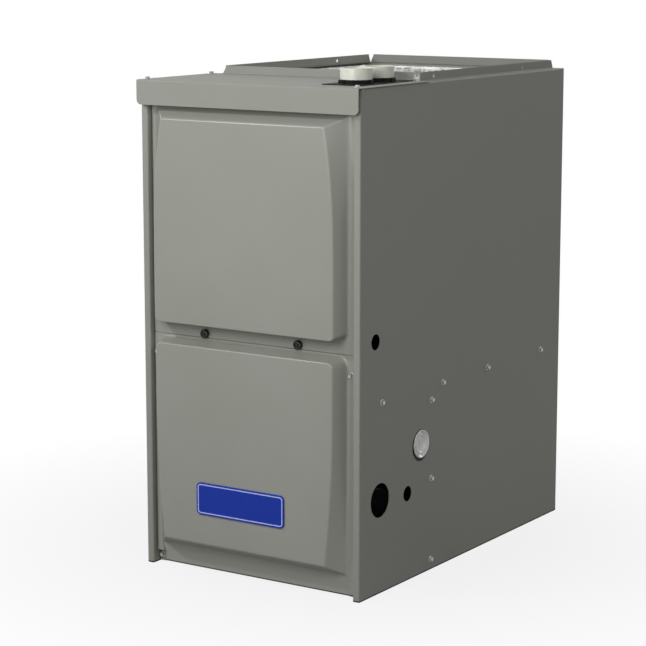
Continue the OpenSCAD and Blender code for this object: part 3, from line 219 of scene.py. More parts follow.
# The camera of the photograph, fitted to the cabinet's edges. Its place is in metres.

cameraView = {"place": (2.0359, -3.2302, 1.0751), "tilt": 79.963, "turn": 33.277,
              "lens": 118.19, "sensor": 36.0}

cameraData = bpy.data.cameras.new("camera")
cameraData.lens = cameraView["lens"]
cameraData.sensor_width = cameraView["sensor"]
camera = bpy.data.objects.new("camera", cameraData)
camera.location = cameraView["place"]
camera.rotation_euler = [math.radians(a) for a in (cameraView["tilt"], 0, cameraView["turn"])]
bpy.context.scene.collection.objects.link(camera)
bpy.context.scene.camera = camera


# The finishes, each from what the real one is.

def satinEnamel(name, settings):
    # Polyester powder coat baked on folded sheet: an even, slightly green grey with a soft wide
    # sheen; its orange peel is about 1.5 mm, drawn at the size in the settings so that it shows
    material, tree, shader, place = startMaterial(name, settings["colour"], settings["roughness"],
                                                  IOR=1.5, Specular_IOR_Level=settings["specular"])
    peel = addNode(tree, "TexNoise", {"Vector": place, "Scale": perMetre(settings["peel"]),
                                      "Detail": 2.0})
    cloud = addNode(tree, "TexNoise", {"Vector": place, "Scale": perMetre(settings["cloud"]),
                                       "Detail": 3.0})
    spread(tree, shader, cloud.outputs["Fac"], colours=settings["tones"],
           gloss=(settings["roughness"] - 0.03, settings["roughness"] + 0.03))
    spread(tree, shader, peel.outputs["Fac"], height=settings["depth"])
    # painted shade: a dark band on the sheet's face just above its foot, below the given heights,
    # stands in for the contact shadow where the sheet meets the floor
    tones = shader.inputs["Base Color"].links[0].from_socket
    up = addNode(tree, "SeparateXYZ", {"Vector": place})
    aboveFootShade = addNode(tree, "MapRange", {"Value": up.outputs["Z"],
                                         "From Min": settings["footShadeHeights"][0] * mm,
                                         "From Max": settings["footShadeHeights"][1] * mm})
    footShaded = addNode(tree, "Mix", {0: aboveFootShade.outputs["Result"], 6: linear(settings["footShadeColour"]),
                                  7: tones}, data_type="RGBA")
    tree.links.new(footShaded.outputs[2], shader.inputs["Base Color"])
    return material


def galvanisedSheet():
    # Hot-dip zinc on steel sheet: pale metal whose crystals, the spangle, each shine a little
    # differently; 9 mm is a usual spangle
    material, tree, shader, place = startMaterial("galvanisedSheet", "#B4B8BA", 0.42, Metallic=1.0)
    spangle = addNode(tree, "TexVoronoi", {"Vector": place, "Scale": perMetre(9.0)})
    crystal = addNode(tree, "SeparateColor", {"Color": spangle.outputs["Color"]})
    spread(tree, shader, crystal.outputs[0], colours=("#A4A9AC", "#C2C6C8"), span=(0, 1))
    spread(tree, shader, crystal.outputs[1], gloss=(0.32, 0.52), span=(0, 1))
    dull = addNode(tree, "TexNoise", {"Vector": place, "Scale": perMetre(2.5), "Detail": 4.0})
    spread(tree, shader, dull.outputs["Fac"], height=0.02)
    return material


def zincPlate():
    # Bright zinc on cold-headed screws: a clean, slightly blue metal with fine die marks
    material, tree, shader, place = startMaterial("zincPlate", "#9C9E9C", 0.36, Metallic=1.0)
    marks = addNode(tree, "TexNoise", {"Vector": place, "Scale": perMetre(1.2), "Detail": 4.0})
    spread(tree, shader, marks.outputs["Fac"], colours=("#8E908E", "#AAACAA"), gloss=(0.28, 0.46),
           height=0.03)
    return material


def liningFoil():
    # Aluminium foil over glass wool: bright and creased, with its glass threads showing through
    # as ridges 12 mm apart
    material, tree, shader, place = startMaterial("liningFoil", "#E6E7E6", 0.24, Metallic=1.0)
    creases = addNode(tree, "TexVoronoi", {"Vector": place, "Scale": perMetre(16.0)},
                      feature="DISTANCE_TO_EDGE")
    spread(tree, shader, creases.outputs["Distance"], gloss=(0.34, 0.18), height=0.25, span=(0, 0.3))
    for turn in (0.6, -0.6):
        slanted = addNode(tree, "Mapping", {"Vector": place, "Rotation": (turn, 0.0, 0.0)})
        threads = addNode(tree, "TexWave", {"Vector": slanted.outputs["Vector"],
                                            "Scale": perMetre(12.0) / (2 * math.pi)},
                          bands_direction="Z")
        spread(tree, shader, threads.outputs["Fac"], height=0.15)
    return material


def mouldedBlack(name, colour, roughness, grain, specular=0.12):
    # Glass-filled nylon or polypropylene from an eroded mould: black with a dull, fine grain
    material, tree, shader, place = startMaterial(name, colour, roughness, IOR=1.5,
                                                  Specular_IOR_Level=specular)
    eroded = addNode(tree, "TexNoise", {"Vector": place, "Scale": perMetre(grain), "Detail": 4.0})
    spread(tree, shader, eroded.outputs["Fac"], gloss=(roughness - 0.07, roughness + 0.07),
           height=0.05)
    return material


def whitePipePlastic(name, tones, gloss):
    # PVC, moulded and extruded: a creamy white, smooth, with faint flow marks
    material, tree, shader, place = startMaterial(name, tones[0], 0.34, IOR=1.53)
    flow = addNode(tree, "TexNoise", {"Vector": place, "Scale": perMetre(30.0), "Detail": 2.0})
    spread(tree, shader, flow.outputs["Fac"], colours=tones, gloss=gloss, height=0.03)
    return material


def mattRubber(name, colour, roughness):
    # Moulded or extruded rubber: dull, with a bloom of slightly paler patches
    material, tree, shader, place = startMaterial(name, colour, roughness, IOR=1.5,
                                                  Specular_IOR_Level=0.15)
    bloom = addNode(tree, "TexNoise", {"Vector": place, "Scale": perMetre(14.0), "Detail": 5.0})
    spread(tree, shader, bloom.outputs["Fac"], gloss=(roughness - 0.08, roughness + 0.08),
           height=0.08)
    return material


def aluminisedSteel():
    # Steel dipped in aluminium and silicon: a warm grey metal, softly mottled by the bath
    material, tree, shader, place = startMaterial("aluminisedSteel", "#A8A498", 0.5, Metallic=1.0)
    bath = addNode(tree, "TexNoise", {"Vector": place, "Scale": perMetre(22.0), "Detail": 6.0})
    spread(tree, shader, bath.outputs["Fac"], colours=("#98948A", "#B6B3A8"), gloss=(0.42, 0.58),
           height=0.05)
    return material


def drawnMetal(name, colours, gloss, stretch, step):
    # Metal drawn or rolled through a die: fine lines run along it, closer together than they show,
    # so they are drawn as wide as the step
    material, tree, shader, place = startMaterial(name, colours[0], gloss[0], Metallic=1.0)
    along = addNode(tree, "Mapping", {"Vector": place, "Scale": stretch})
    lines = addNode(tree, "TexNoise", {"Vector": along.outputs["Vector"], "Scale": perMetre(step),
                                       "Detail": 3.0})
    spread(tree, shader, lines.outputs["Fac"], colours=colours, gloss=gloss, height=0.02)
    return material


def dieCastMetal():
    # Aluminium cast under pressure: matt grey with a fine skin of flow marks
    material, tree, shader, place = startMaterial("dieCastMetal", "#A2A4A6", 0.5, Metallic=1.0)
    skin = addNode(tree, "TexNoise", {"Vector": place, "Scale": perMetre(2.0), "Detail": 5.0})
    spread(tree, shader, skin.outputs["Fac"], colours=("#969899", "#AEB0B1"), gloss=(0.42, 0.6),
           height=0.06)
    return material


def blackIronPipe():
    # Mill scale on welded pipe: a dark, slightly glossy oxide with paler rubbed patches
    material, tree, shader, place = startMaterial("blackIronPipe", "#55565A", 0.5, Metallic=0.85)
    scale = addNode(tree, "TexNoise", {"Vector": place, "Scale": perMetre(7.0), "Detail": 6.0})
    spread(tree, shader, scale.outputs["Fac"], colours=("#48494C", "#6C6E70"), gloss=(0.4, 0.62),
           height=0.08)
    return material


def motorEnamel():
    # Black stoved enamel on motor shells: fairly glossy, a little wavy
    material, tree, shader, place = startMaterial("motorEnamel", "#1D1E20", 0.34, IOR=1.5)
    wave = addNode(tree, "TexNoise", {"Vector": place, "Scale": perMetre(9.0), "Detail": 2.0})
    spread(tree, shader, wave.outputs["Fac"], gloss=(0.28, 0.42), height=0.05)
    return material


def glossPlastic(name, colour, roughness):
    # Polished moulding: a clear skin over an even colour
    material, tree, shader, place = startMaterial(name, colour, roughness, IOR=1.5, Coat_Weight=0.3)
    skin = addNode(tree, "TexNoise", {"Vector": place, "Scale": perMetre(5.0), "Detail": 2.0})
    spread(tree, shader, skin.outputs["Fac"], gloss=(roughness - 0.05, roughness + 0.06),
           height=0.02)
    return material


def glazedCeramic():
    # Fired steatite with a thin glaze: warm white, glossy, faintly speckled
    material, tree, shader, place = startMaterial("glazedCeramic", "#E3DED0", 0.26, IOR=1.55,
                                                  Coat_Weight=0.4)
    speck = addNode(tree, "TexNoise", {"Vector": place, "Scale": perMetre(1.6), "Detail": 2.0})
    spread(tree, shader, speck.outputs["Fac"], colours=("#CFC8B6", "#EAE6DA"), span=(0.25, 0.45))
    return material


def solderMask():
    # Green lacquer over etched copper: the tracks show as paler, slightly raised bands 4 mm apart
    material, tree, shader, place = startMaterial("solderMask", "#1F5A33", 0.3, IOR=1.5,
                                                  Coat_Weight=0.3)
    upright = addNode(tree, "Mapping", {"Vector": place, "Rotation": (math.pi / 2, 0.0, 0.0)})
    tracks = addNode(tree, "TexBrick", {"Vector": upright.outputs["Vector"],
                                        "Scale": perMetre(8.0), "Mortar Size": 0.06,
                                        "Color1": (0, 0, 0, 1), "Color2": (0, 0, 0, 1),
                                        "Mortar": (1, 1, 1, 1)})
    copper = addNode(tree, "SeparateColor", {"Color": tracks.outputs["Color"]})
    spread(tree, shader, copper.outputs[0], colours=("#1B5230", "#2F7A45"), height=0.04,
           span=(0, 1))
    return material


def varnishedLaminations():
    # Stacked core steel dipped in varnish: dark brown grey, its 0.5 mm sheets drawn 3 mm apart
    material, tree, shader, place = startMaterial("varnishedLaminations", "#3F3C39", 0.4, IOR=1.5)
    sheets = addNode(tree, "TexWave", {"Vector": place, "Scale": perMetre(3.0) / (2 * math.pi)},
                     bands_direction="Y")
    spread(tree, shader, sheets.outputs["Fac"], colours=("#2E2C2A", "#4E4A46"), height=0.15)
    return material


def stovedBadgeEnamel(name, colour):
    # Stoved enamel on a pressed plate: deep colour with a smooth, fairly quiet skin
    material, tree, shader, place = startMaterial(name, colour, 0.3, IOR=1.5,
                                                  Specular_IOR_Level=0.15)
    pool = addNode(tree, "TexNoise", {"Vector": place, "Scale": perMetre(18.0), "Detail": 2.0})
    spread(tree, shader, pool.outputs["Fac"], gloss=(0.25, 0.36), height=0.04)
    return material


# the last two settings of each paint give a painted shade line along the sheet's foot: its heights,
# and its dark colour
casePaint = {"colour": "#94958D", "tones": ("#92938B", "#969790"), "roughness": 0.6,
             "specular": 0.3, "peel": 5.0, "cloud": 160.0, "depth": 0.015,
             "footShadeHeights": (2.2, 2.8), "footShadeColour": "#1C1C1B"}
doorPaint = {"colour": "#94968D", "tones": ("#93948B", "#969890"), "roughness": 0.32,
             "specular": 0.5, "peel": 5.0, "cloud": 140.0, "depth": 0.012,
             "footShadeHeights": (7.6, 8.2), "footShadeColour": "#1C1C1B"}

finishes = {
    "case_paint": satinEnamel("caseEnamel", casePaint),
    "door_paint": satinEnamel("doorEnamel", doorPaint),
    "galvanised_sheet": galvanisedSheet(),
    "foil_liner": liningFoil(),
    "zinc_screw": zincPlate(),
    "black_plastic": mouldedBlack("mouldedNylon", "#0B0B0C", 0.5, 2.5),
    "white_plastic": whitePipePlastic("whitePipePlastic", ("#D1D3C5", "#DBDDD1"), (0.28, 0.4)),
    "gasket_rubber": mattRubber("gasketRubber", "#0A0A0B", 0.62),
    "drain_rubber": mattRubber("drainHoseRubber", "#2A2A2B", 0.6),
    "red_hose": mattRubber("redSilicone", "#7D2A22", 0.45),
    "aluminised_steel": aluminisedSteel(),
    "stainless_tube": drawnMetal("drawnStainless", ("#A9A9A4", "#BFBFBB"), (0.24, 0.36),
                                 (1.0, 0.05, 1.0), 1.5),
    "fin_aluminium": drawnMetal("rolledAluminium", ("#C4C7C8", "#D6D9D9"), (0.28, 0.4),
                                (0.1, 1.0, 1.0), 3.0),
    "cast_aluminium": dieCastMetal(),
    "black_iron": blackIronPipe(),
    "wheel_steel": drawnMetal("rolledWheelSteel", ("#A6AAAC", "#BCC0C2"), (0.34, 0.46),
                              (0.1, 1.0, 1.0), 2.5),
    "shaft_steel": drawnMetal("groundShaft", ("#85878A", "#9A9C9E"), (0.16, 0.26),
                              (1.0, 0.05, 0.05), 0.8),
    "motor_paint": motorEnamel(),
    "switch_body": mouldedBlack("switchPhenolic", "#29292B", 0.42, 1.6),
    "button_red": glossPlastic("buttonRed", "#B3201B", 0.25),
    "ceramic": glazedCeramic(),
    "circuit_board": solderMask(),
    "transformer_steel": varnishedLaminations(),
    "badge_enamel": stovedBadgeEnamel("badgeBlue", "#1837A6"),
}
paleEnamel = stovedBadgeEnamel("badgeLine", "#BFC8F9")
knobNylon = mouldedBlack("knobNylon", "#070708", 0.22, 2.5, specular=0.6)
trapCapWhite = whitePipePlastic("trapCapWhite", ("#EFF0EF", "#F7F7F6"), (0.16, 0.22))

for part in frame["record"]["subparts"]:
    mesh = nodes[part["node"]].data
    mesh.materials.clear()
    mesh.materials.append(finishes[part["material_slot"]])
print("finishes:", len(finishes))


# The two pressed doors: one sheet each, from the end of its folded edge to its raised face.

doorPress = {
    "sheet": 1.2,
    "edge": 16.0,         # depth of the folded edge
    "foldRadius": 0.4,
    "flangeCorner": 1.0,
    "flat": 0.3,          # kept flat between a fold or fillet and the next ring
    "faceRadius": 2.3,    # where the raised part turns into the face
    "faceRing": 0.8,      # the last ring, this far inside that turn
    "leastRadius": 0.6,
    "arcRings": 7,
    "wallRings": 3,
    "cornerPoints": 9,
    "sidePoints": 36,
    "edgePoints": 6,
    "crease": 50,
}
upperDoor = {
    "rim": 11.0,                # flat flange beside the raised part
    "draft": 12.0,              # how far its sides slope in
    "footRadius": 4.5,          # fillet where they leave the flange
    "base": (444.6, 807.0),     # its foot and its top, at the flange
    "baseRadii": (10.0, 3.0),
    "face": (441.0, 790.5),     # and at the face
    "faceRadii": (8.0, 3.0),
    "taper": 18.3,              # how far the face draws in at its narrow end
    "taperFrom": 550.0,
    "taperTo": 790.5,
    "taperPower": 2.6,
    "leftNotch": None,
}
lowerDoor = {
    "rim": 12.5,
    "draft": 12.0,
    "footRadius": 3.5,
    "base": (40.5, 410.6),
    "baseRadii": (3.0, 17.0),
    "face": (58.6, 404.9),
    "faceRadii": (3.0, 11.0),
    "taper": 15.0,
    "taperFrom": 320.0,
    "taperTo": 58.6,
    "taperPower": 2.15,
    "leftNotch": (18.0, 23.5),  # its width, and the height of its top off the floor
}


def halfWidthAt(door, full, taper, z):
    # full width, drawn in towards one end by a power of the distance past the taper's start
    share = (z - door["taperFrom"]) / (door["taperTo"] - door["taperFrom"])
    return full - taper * np.clip(share, 0, None) ** door["taperPower"]


def halfOutline(door, low, high, footRadius, topRadius, full, taper, notch):
    # half of a closed loop in (x, z): the foot edge, a quarter circle, the side, a quarter circle
    # and the top edge; a notch, given by its corner, puts a square step in place of the foot's
    # quarter circle
    quarter = np.linspace(0, math.pi / 2, doorPress["cornerPoints"])
    edge = np.linspace(0, 1, doorPress["edgePoints"] + 1)
    footX = halfWidthAt(door, full, taper, low + footRadius) - footRadius
    topX = halfWidthAt(door, full, taper, high - topRadius) - topRadius
    sideStart = low + footRadius
    footArc = np.stack([footX + footRadius * np.sin(quarter),
                        low + footRadius * (1 - np.cos(quarter))], -1)
    if notch:
        footX, sideStart = notch
        step = quarter / quarter[-1]
        footArc = np.stack([footX + (full - footX) * np.clip(2 * step - 1, 0, 1),
                            low + (sideStart - low) * np.clip(2 * step, 0, 1)], -1)
    sideZ = np.linspace(sideStart, high - topRadius, doorPress["sidePoints"] + 2)[1:-1]
    topArc = np.stack([topX + topRadius * np.cos(quarter),
                       high - topRadius * (1 - np.sin(quarter))], -1)
    return np.concatenate([
        np.stack([footX * edge[:-1], low + 0 * edge[:-1]], -1),
        footArc,
        np.stack([halfWidthAt(door, full, taper, sideZ), sideZ], -1),
        topArc,
        np.stack([topX * (1 - edge[1:]), high + 0 * edge[1:]], -1)])


def doorOutline(door, low, high, footRadius, topRadius, full, taper=0.0, leftNotch=None):
    # the right half, then the left half mirrored and run backwards
    right, left = [halfOutline(door, low, high, footRadius, topRadius, full, taper, notch)
                   for notch in (None, leftNotch)]
    return np.concatenate([right, left[-2:0:-1] * [-1, 1]])


def pressedDoor(name, node, door):
    # rings at growing height off the flange: fold arc, flange, foot fillet, wall, face fillet;
    # an arc of radius R at angle a stands R(1 - cos a) off one face and R(1 - sin a) off the other
    press = doorPress
    low, high = boxOf(node)
    half = high[0]
    backY = high[1]
    flangeY = backY - press["edge"]
    rise = flangeY - low[1]
    riseHalf = half - door["rim"]
    arc = np.linspace(0, math.pi / 2, press["arcRings"])
    notch = door["leftNotch"]
    if notch:
        notch = (half - notch[0], notch[1])

    def flange(inset, y):
        corner = press["flangeCorner"]
        loop = doorOutline(door, low[2] + inset, high[2] - inset, corner, corner, half - inset,
                           leftNotch=notch)
        return np.insert(loop, 1, y, axis=1)

    def raised(height, grow):
        f = height / rise
        base, face = np.array(door["base"]), np.array(door["face"])
        zs = base + (face - base) * f + [-grow, grow]
        radii = np.array(door["baseRadii"]) * (1 - f) + np.array(door["faceRadii"]) * f + grow
        loop = doorOutline(door, zs[0], zs[1], *np.maximum(radii, press["leastRadius"]),
                           riseHalf - door["draft"] * f + grow, door["taper"] * f)
        return np.insert(loop, 1, flangeY - height, axis=1)

    fold, foot, top = press["foldRadius"], door["footRadius"], press["faceRadius"]
    flat = press["flat"]
    rings = [flange(0, backY)]
    rings += [flange(fold * (1 - math.cos(a)), flangeY + fold * (1 - math.sin(a))) for a in arc]
    openRings = len(rings)            # the notch cuts right through these
    rings += [flange(fold + flat, flangeY), raised(0, foot + flat)]
    rings += [raised(foot * (1 - math.cos(a)), foot * (1 - math.sin(a))) for a in arc]
    rings += [raised(h, 0) for h in np.linspace(foot, rise - top, press["wallRings"] + 2)[1:-1]]
    rings += [raised(rise - top * (1 - math.sin(a)), -top * (1 - math.cos(a))) for a in arc]
    rings += [raised(rise, -top - press["faceRing"])]
    grid = np.stack(rings)
    count = grid.shape[1]
    faces = gridFaces(len(rings), count, wrapColumns=True)
    if notch:
        ring, column = np.divmod(faces[:, 0], count)
        fromFoot = count - 1 - column  # counted from the middle of the foot edge
        first = press["edgePoints"]
        last = first + press["cornerPoints"] - 1
        faces = faces[(ring >= openRings) | (fromFoot < first) | (fromFoot >= last)]
    middle = list(range((len(rings) - 1) * count, len(rings) * count))
    makePiece(name, (grid.reshape(-1, 3), faces.tolist() + [middle]), finishes["door_paint"],
              node, [node], crease=press["crease"], wall=press["sheet"])


pressedDoor("upperDoorSheet", "upper_door", upperDoor)
pressedDoor("lowerDoorSheet", "lower_door", lowerDoor)
print("doors pressed")


# The badge on the lower door: a blank enamelled plate with a raised rim and a pale line.

badgeShape = {
    "corner": 8.5,
    "rimWidth": 2.6,
    "rimRadius": 0.8,         # its outer edge
    "rimSlope": 0.6,          # its inner edge, and the first ring on the field
    "rimRound": (0.1, 0.15),
    "fieldDrop": 0.5,
    "line": (2.7, 4.7),       # both its edges, from the plate's
    "lineHigh": 0.3,
    "lineSide": 0.15,
    "lineRound": 0.2,
    "lineSunk": 0.1,
    "leastRadius": 0.4,
    "cornerPoints": 8,
    "edgeRings": 5,
    "crease": 40,
}
badgeLow, badgeHigh = boxOf("badge_plate")


def badgeLoop(inset, y):
    # rounded rectangle in (x, z) at depth y: four quarter circles about the corner centres
    steps = badgeShape["cornerPoints"]
    centre, half = (badgeLow + badgeHigh) / 2, (badgeHigh - badgeLow) / 2
    quarter = np.linspace(0, math.pi / 2, steps)
    radius = max(badgeShape["corner"] - inset, badgeShape["leastRadius"])
    angle = np.concatenate([quarter + i * math.pi / 2 for i in range(4)])
    corner = np.repeat(np.array([[1, 1], [-1, 1], [-1, -1], [1, -1]]), steps, axis=0)
    at = corner * (half[[0, 2]] - inset - radius)
    x = centre[0] + at[:, 0] + radius * np.cos(angle)
    z = centre[2] + at[:, 1] + radius * np.sin(angle)
    return np.stack([x, y + 0 * x, z], -1)


def badgePlate(shape):
    # loops from the back over the rounded rim down to the field, with the last one filled
    frontY, fieldY = badgeLow[1], badgeLow[1] + shape["fieldDrop"]
    width, slope, edge = shape["rimWidth"], shape["rimSlope"], shape["rimRadius"]
    arc = np.linspace(0, math.pi / 2, shape["edgeRings"])
    rings = [badgeLoop(0, badgeHigh[1])]
    rings += [badgeLoop(edge * (1 - math.cos(a)), frontY + edge * (1 - math.sin(a))) for a in arc]
    rings += [badgeLoop(width - slope, frontY),
              badgeLoop(width - shape["rimRound"][0], frontY + shape["rimRound"][1]),
              badgeLoop(width, fieldY), badgeLoop(width + slope, fieldY)]
    grid = np.stack(rings)
    count = grid.shape[1]
    field = list(range((len(rings) - 1) * count, len(rings) * count))
    return grid.reshape(-1, 3), gridFaces(len(rings), count, wrapColumns=True).tolist() + [field]


def badgeBorder(shape):
    # loops up one side of the line, across its top and down the other side
    fieldY = badgeLow[1] + shape["fieldDrop"]
    sunkY = fieldY + shape["lineSunk"]
    sideY = fieldY - shape["lineSide"]
    topY = fieldY - shape["lineHigh"]
    start, end = shape["line"]
    turn = shape["lineRound"]
    rings = [badgeLoop(start, sunkY), badgeLoop(start, sideY), badgeLoop(start + turn, topY),
             badgeLoop(end - turn, topY), badgeLoop(end, sideY), badgeLoop(end, sunkY)]
    return gridSurface(np.stack(rings), wrapColumns=True)


makePiece("badgePlate", badgePlate(badgeShape), finishes["badge_enamel"], "lower_door",
          ["badge_plate"], crease=badgeShape["crease"])
makePiece("badgeLine", badgeBorder(badgeShape), paleEnamel, "lower_door",
          crease=badgeShape["crease"])
print("badge made")


# The two quarter-turn knobs: a fluted head in front of the sheet and a stud behind it.

knobShape = {
    "radius": 8.0,
    "length": 7.5,
    "backEdge": (0.4, 0.6),
    "frontEdge": 1.6,
    "rim": (3.2, 4.0),        # where the flat rim ends and where the dish's floor begins
    "dish": 3.4,
    "round": 0.7,
    "flutes": 14,
    "fluteDepth": 0.35,
    "points": 112,
    "bar": (2.6, 9.4),        # width and length of the grip bar in the dish
    "barDepth": (4.0, 0.6),   # its foot and its top, from the front
    "stud": 4.0,
    "studEdge": 0.8,
    "studGap": 1.6,
    "studRound": 0.3,
    "studPoints": 32,
}


def flutedHead(shape):
    # radius r(h) less a cosine of the angle times the share of the grip at that height
    r, length = shape["radius"], shape["length"]
    edge, dishFloor = shape["frontEdge"], length - shape["dish"]
    profile = rounded([(0, 0), (r - shape["backEdge"][0], 0), (r, shape["backEdge"][1]),
                       (r, length - edge), (r - edge, length), (r - shape["rim"][0], length),
                       (r - shape["rim"][1], dishFloor), (0, dishFloor)], shape["round"], 3)
    angle = np.linspace(0, 2 * math.pi, shape["points"], endpoint=False)
    radius, height = profile[:, :1], profile[:, 1:]
    grip = np.clip(radius - r + 1.0, 0, 1) * np.clip(height / 2, 0, 1)
    radius = radius - shape["fluteDepth"] * grip * (1 + np.cos(shape["flutes"] * angle)) / 2
    grid = np.stack([radius * np.cos(angle), radius * np.sin(angle), height + 0 * angle], -1)
    return gridSurface(grid, wrapColumns=True)


def gripBar(shape):
    # a box across the dish
    (wide, long), (foot, top), front = shape["bar"], shape["barDepth"], shape["length"]
    return block((-wide / 2, -long / 2, front - foot), (wide / 2, long / 2, front - top))


def knobStud(shape, length):
    # a pin turned about its axis, with both ends rounded
    r, edge = shape["stud"], shape["studEdge"]
    return lathe(rounded([(0, 0), (r - edge, 0), (r, edge), (r, length), (0, length)],
                         shape["studRound"], 2), shape["studPoints"])


for side in ("left", "right"):
    low, high = boxOf(side + "_door_knob")
    centreX, centreZ = (low[0] + high[0]) / 2, (low[2] + high[2]) / 2
    headBack = low[1] + knobShape["length"]
    head = together([flutedHead(knobShape), gripBar(knobShape)])
    stud = turned(knobStud(knobShape, high[1] - headBack - knobShape["studGap"]))
    makePiece(side + "KnobHead", placed(head, (centreX, headBack, centreZ), "-y"),
              knobNylon, side + "_knob", [side + "_door_knob"])
    makePiece(side + "KnobStud", placed(stud, (centreX, high[1], centreZ), "-y"),
              knobNylon, side + "_knob")
print("knobs made")


# The hex washer-head screws, with their threads.

screwShape = {
    "washer": 5.6,
    "washerEdge": 0.9,
    "hex": 4.2,
    "head": 3.6,
    "shank": 1.85,
    "pitch": 1.6,
    "threadDepth": 0.45,
    "point": 1.8,
    "points": 24,
    "pitchRings": 6,
}
# shank lengths, and places on the right half of the cabinet: side panel, foot tab, cap, lower door
screwPlaces = {
    "panel": (7, [(222.25, y, 329.0) for y in (-287.7, -86.0, 74.7, 278.9)]
              + [(222.25, -124.0, z) for z in (19.0, 165.0, 304.5)]),
    "tab": (13, [(199.95, -341.0, 13.5)]),
    "cap": (7, [(212.1, -351.0, 854.0), (212.1, -167.0, 854.0)]),
    "door": (20, [(199.45, -348.0, 382.8)]),
}


def hexScrew(length):
    # radius by angle: a circle for the washer, corner radius x cos 30 / cos(a mod 60 - 30) for the
    # hexagon, and a sawtooth that climbs one pitch a turn for the thread
    s = screwShape
    angle = np.linspace(0, 2 * math.pi, s["points"] + 1)[:-1]
    hexagon = math.cos(math.pi / 6) / np.cos(np.mod(angle, math.pi / 3) - math.pi / 6)
    top = s["washerEdge"] + s["head"]
    # radius, height and share of the hexagon, from the washer's back to the dip in the head
    rows = np.array([(s["shank"], 0, 0), (s["washer"] - 0.3, 0, 0), (s["washer"], 0.25, 0),
                     (s["washer"] - 0.2, 0.6, 0), (s["hex"] + 0.35, s["washerEdge"], 0),
                     (s["hex"], s["washerEdge"] + 0.05, 1), (s["hex"], top - 0.6, 1),
                     (s["hex"] - 0.35, top - 0.1, 0.4), (s["hex"] - 0.8, top, 0),
                     (s["hex"] - 1.4, top - 0.1, 0), (s["hex"] - 1.9, top - 0.5, 0),
                     (0, top - 0.5, 0)])
    r, h, share = rows[:, :1], rows[:, 1:2], rows[:, 2:]
    radius = r * (1 - share + share * hexagon)
    headGrid = np.stack([radius * np.cos(angle), radius * np.sin(angle), h + 0 * angle], -1)
    depth = np.linspace(0, length, int(length / s["pitch"] * s["pitchRings"]) + 1)[:, None]
    tooth = np.abs(np.mod(angle / (2 * math.pi) + depth / s["pitch"], 1) - 0.5) * 2
    point = np.clip((length - depth) / s["point"], 0, 1)
    shank = (s["shank"] - s["threadDepth"] * (1 - tooth)) * point
    shankGrid = np.stack([shank * np.cos(angle), shank * np.sin(angle), -depth + 0 * angle], -1)
    return together([gridSurface(headGrid, wrapColumns=True),
                     turned(gridSurface(shankGrid, wrapColumns=True))])


def screwsAt(group, leftAxis, rightAxis):
    # a screw at each place's mirror image on the left, then at the place itself
    length, places = screwPlaces[group]
    return [placed(hexScrew(length), (side * x, y, z), axis)
            for side, axis in ((-1, leftAxis), (1, rightAxis)) for x, y, z in places]


cabinetScrews = screwsAt("panel", "-x", "x") + screwsAt("tab", "-y", "-y")
for name, group, body in (("cabinet_screws", cabinetScrews, "cabinet"),
                          ("top_screws", screwsAt("cap", "z", "z"), "cabinet"),
                          ("door_screws", screwsAt("door", "-y", "-y"), "lower_door")):
    makePiece(name.replace("_s", "S"), together(group), finishes["zinc_screw"], body,
              [name], crease=30)
print("screws made")


# The white couplings on the cap: a socket with an inner stop above, a spigot below.

couplingShape = {
    "places": {"intake_coupling": (160, -272), "vent_coupling": (160, -204)},
    "socket": 24.3,
    "wall": 2.6,
    "stop": 20.3,
    "stopDepth": 25.0,
    "stopEdge": 2.0,
    "skirt": 19.0,
    "spigot": 26.2,
    "spigotLength": 22.0,
    "rim": 1.2,
    "points": 128,
}


def coupling(shape, top):
    # closed profile: up the socket, over the rim, down the skirt and the spigot, back up to the stop
    socket, spigot, outer = shape["socket"], shape["spigot"], shape["socket"] + shape["wall"]
    stop = top - shape["stopDepth"] - shape["stopEdge"]
    ledge, skirt, foot = stop + shape["stopEdge"], top - shape["skirt"], stop - shape["spigotLength"]
    profile = rounded([(socket, ledge), (socket, top), (outer, top), (outer, skirt), (spigot, skirt),
                       (spigot, foot), (socket, foot), (socket, stop), (shape["stop"], stop),
                       (shape["stop"], ledge), (socket, ledge)], shape["rim"], 4)
    return turned(lathe(profile[:-1], shape["points"], closed=True))


for name, centre in couplingShape["places"].items():
    top = boxOf(name)[1][2]
    makePiece(name.replace("_c", "C"), placed(coupling(couplingShape, top), centre + (0,)),
              finishes["white_plastic"], "cabinet", [name])
print("couplings made")


# The trap cap in the side panel: a slope inside its rim, a groove, a second rim and a dish with a
# grip bar.

trapCapShape = {
    "panel": 221.25,             # inner face of the side panel
    "neck": 21.3,
    "rim": (24.5, 23.2),         # outer and inner radius
    "slope": (18.6, 5.5),        # radius and depth at its foot
    "groove": 17.0,
    "lip": (16.6, 15.4, 0.8),    # the second rim's radii and depth
    "dish": (12.0, 4.9),         # radius and depth
    "crown": 0.5,
    "bar": (2.4, 7.5, 2.0),      # width, half length, height
    "barSunk": 0.5,
    "round": 0.5,
    "points": 96,
}


def trapCapSurface(shape, back, out):
    # a profile turned about its axis, from the neck's back over the rim and in to the dish, and a bar
    (rimOut, rimIn), (slopeIn, slopeDeep) = shape["rim"], shape["slope"]
    lipOut, lipIn, lipDeep = shape["lip"]
    neck, panel, dish = shape["neck"], shape["panel"], out - shape["dish"][1]
    profile = rounded([(0, back), (neck, back), (neck, panel), (rimOut, panel), (rimOut, out),
                       (rimIn, out), (slopeIn, out - slopeDeep), (shape["groove"], out - slopeDeep),
                       (lipOut, out - lipDeep), (lipIn, out - lipDeep), (shape["dish"][0], dish),
                       (0, dish + shape["crown"])], shape["round"], 4)
    wide, tall, high = shape["bar"]
    bar = block((-wide / 2, -tall, dish - shape["barSunk"]), (wide / 2, tall, dish + high))
    return together([lathe(profile, shape["points"]), bar])


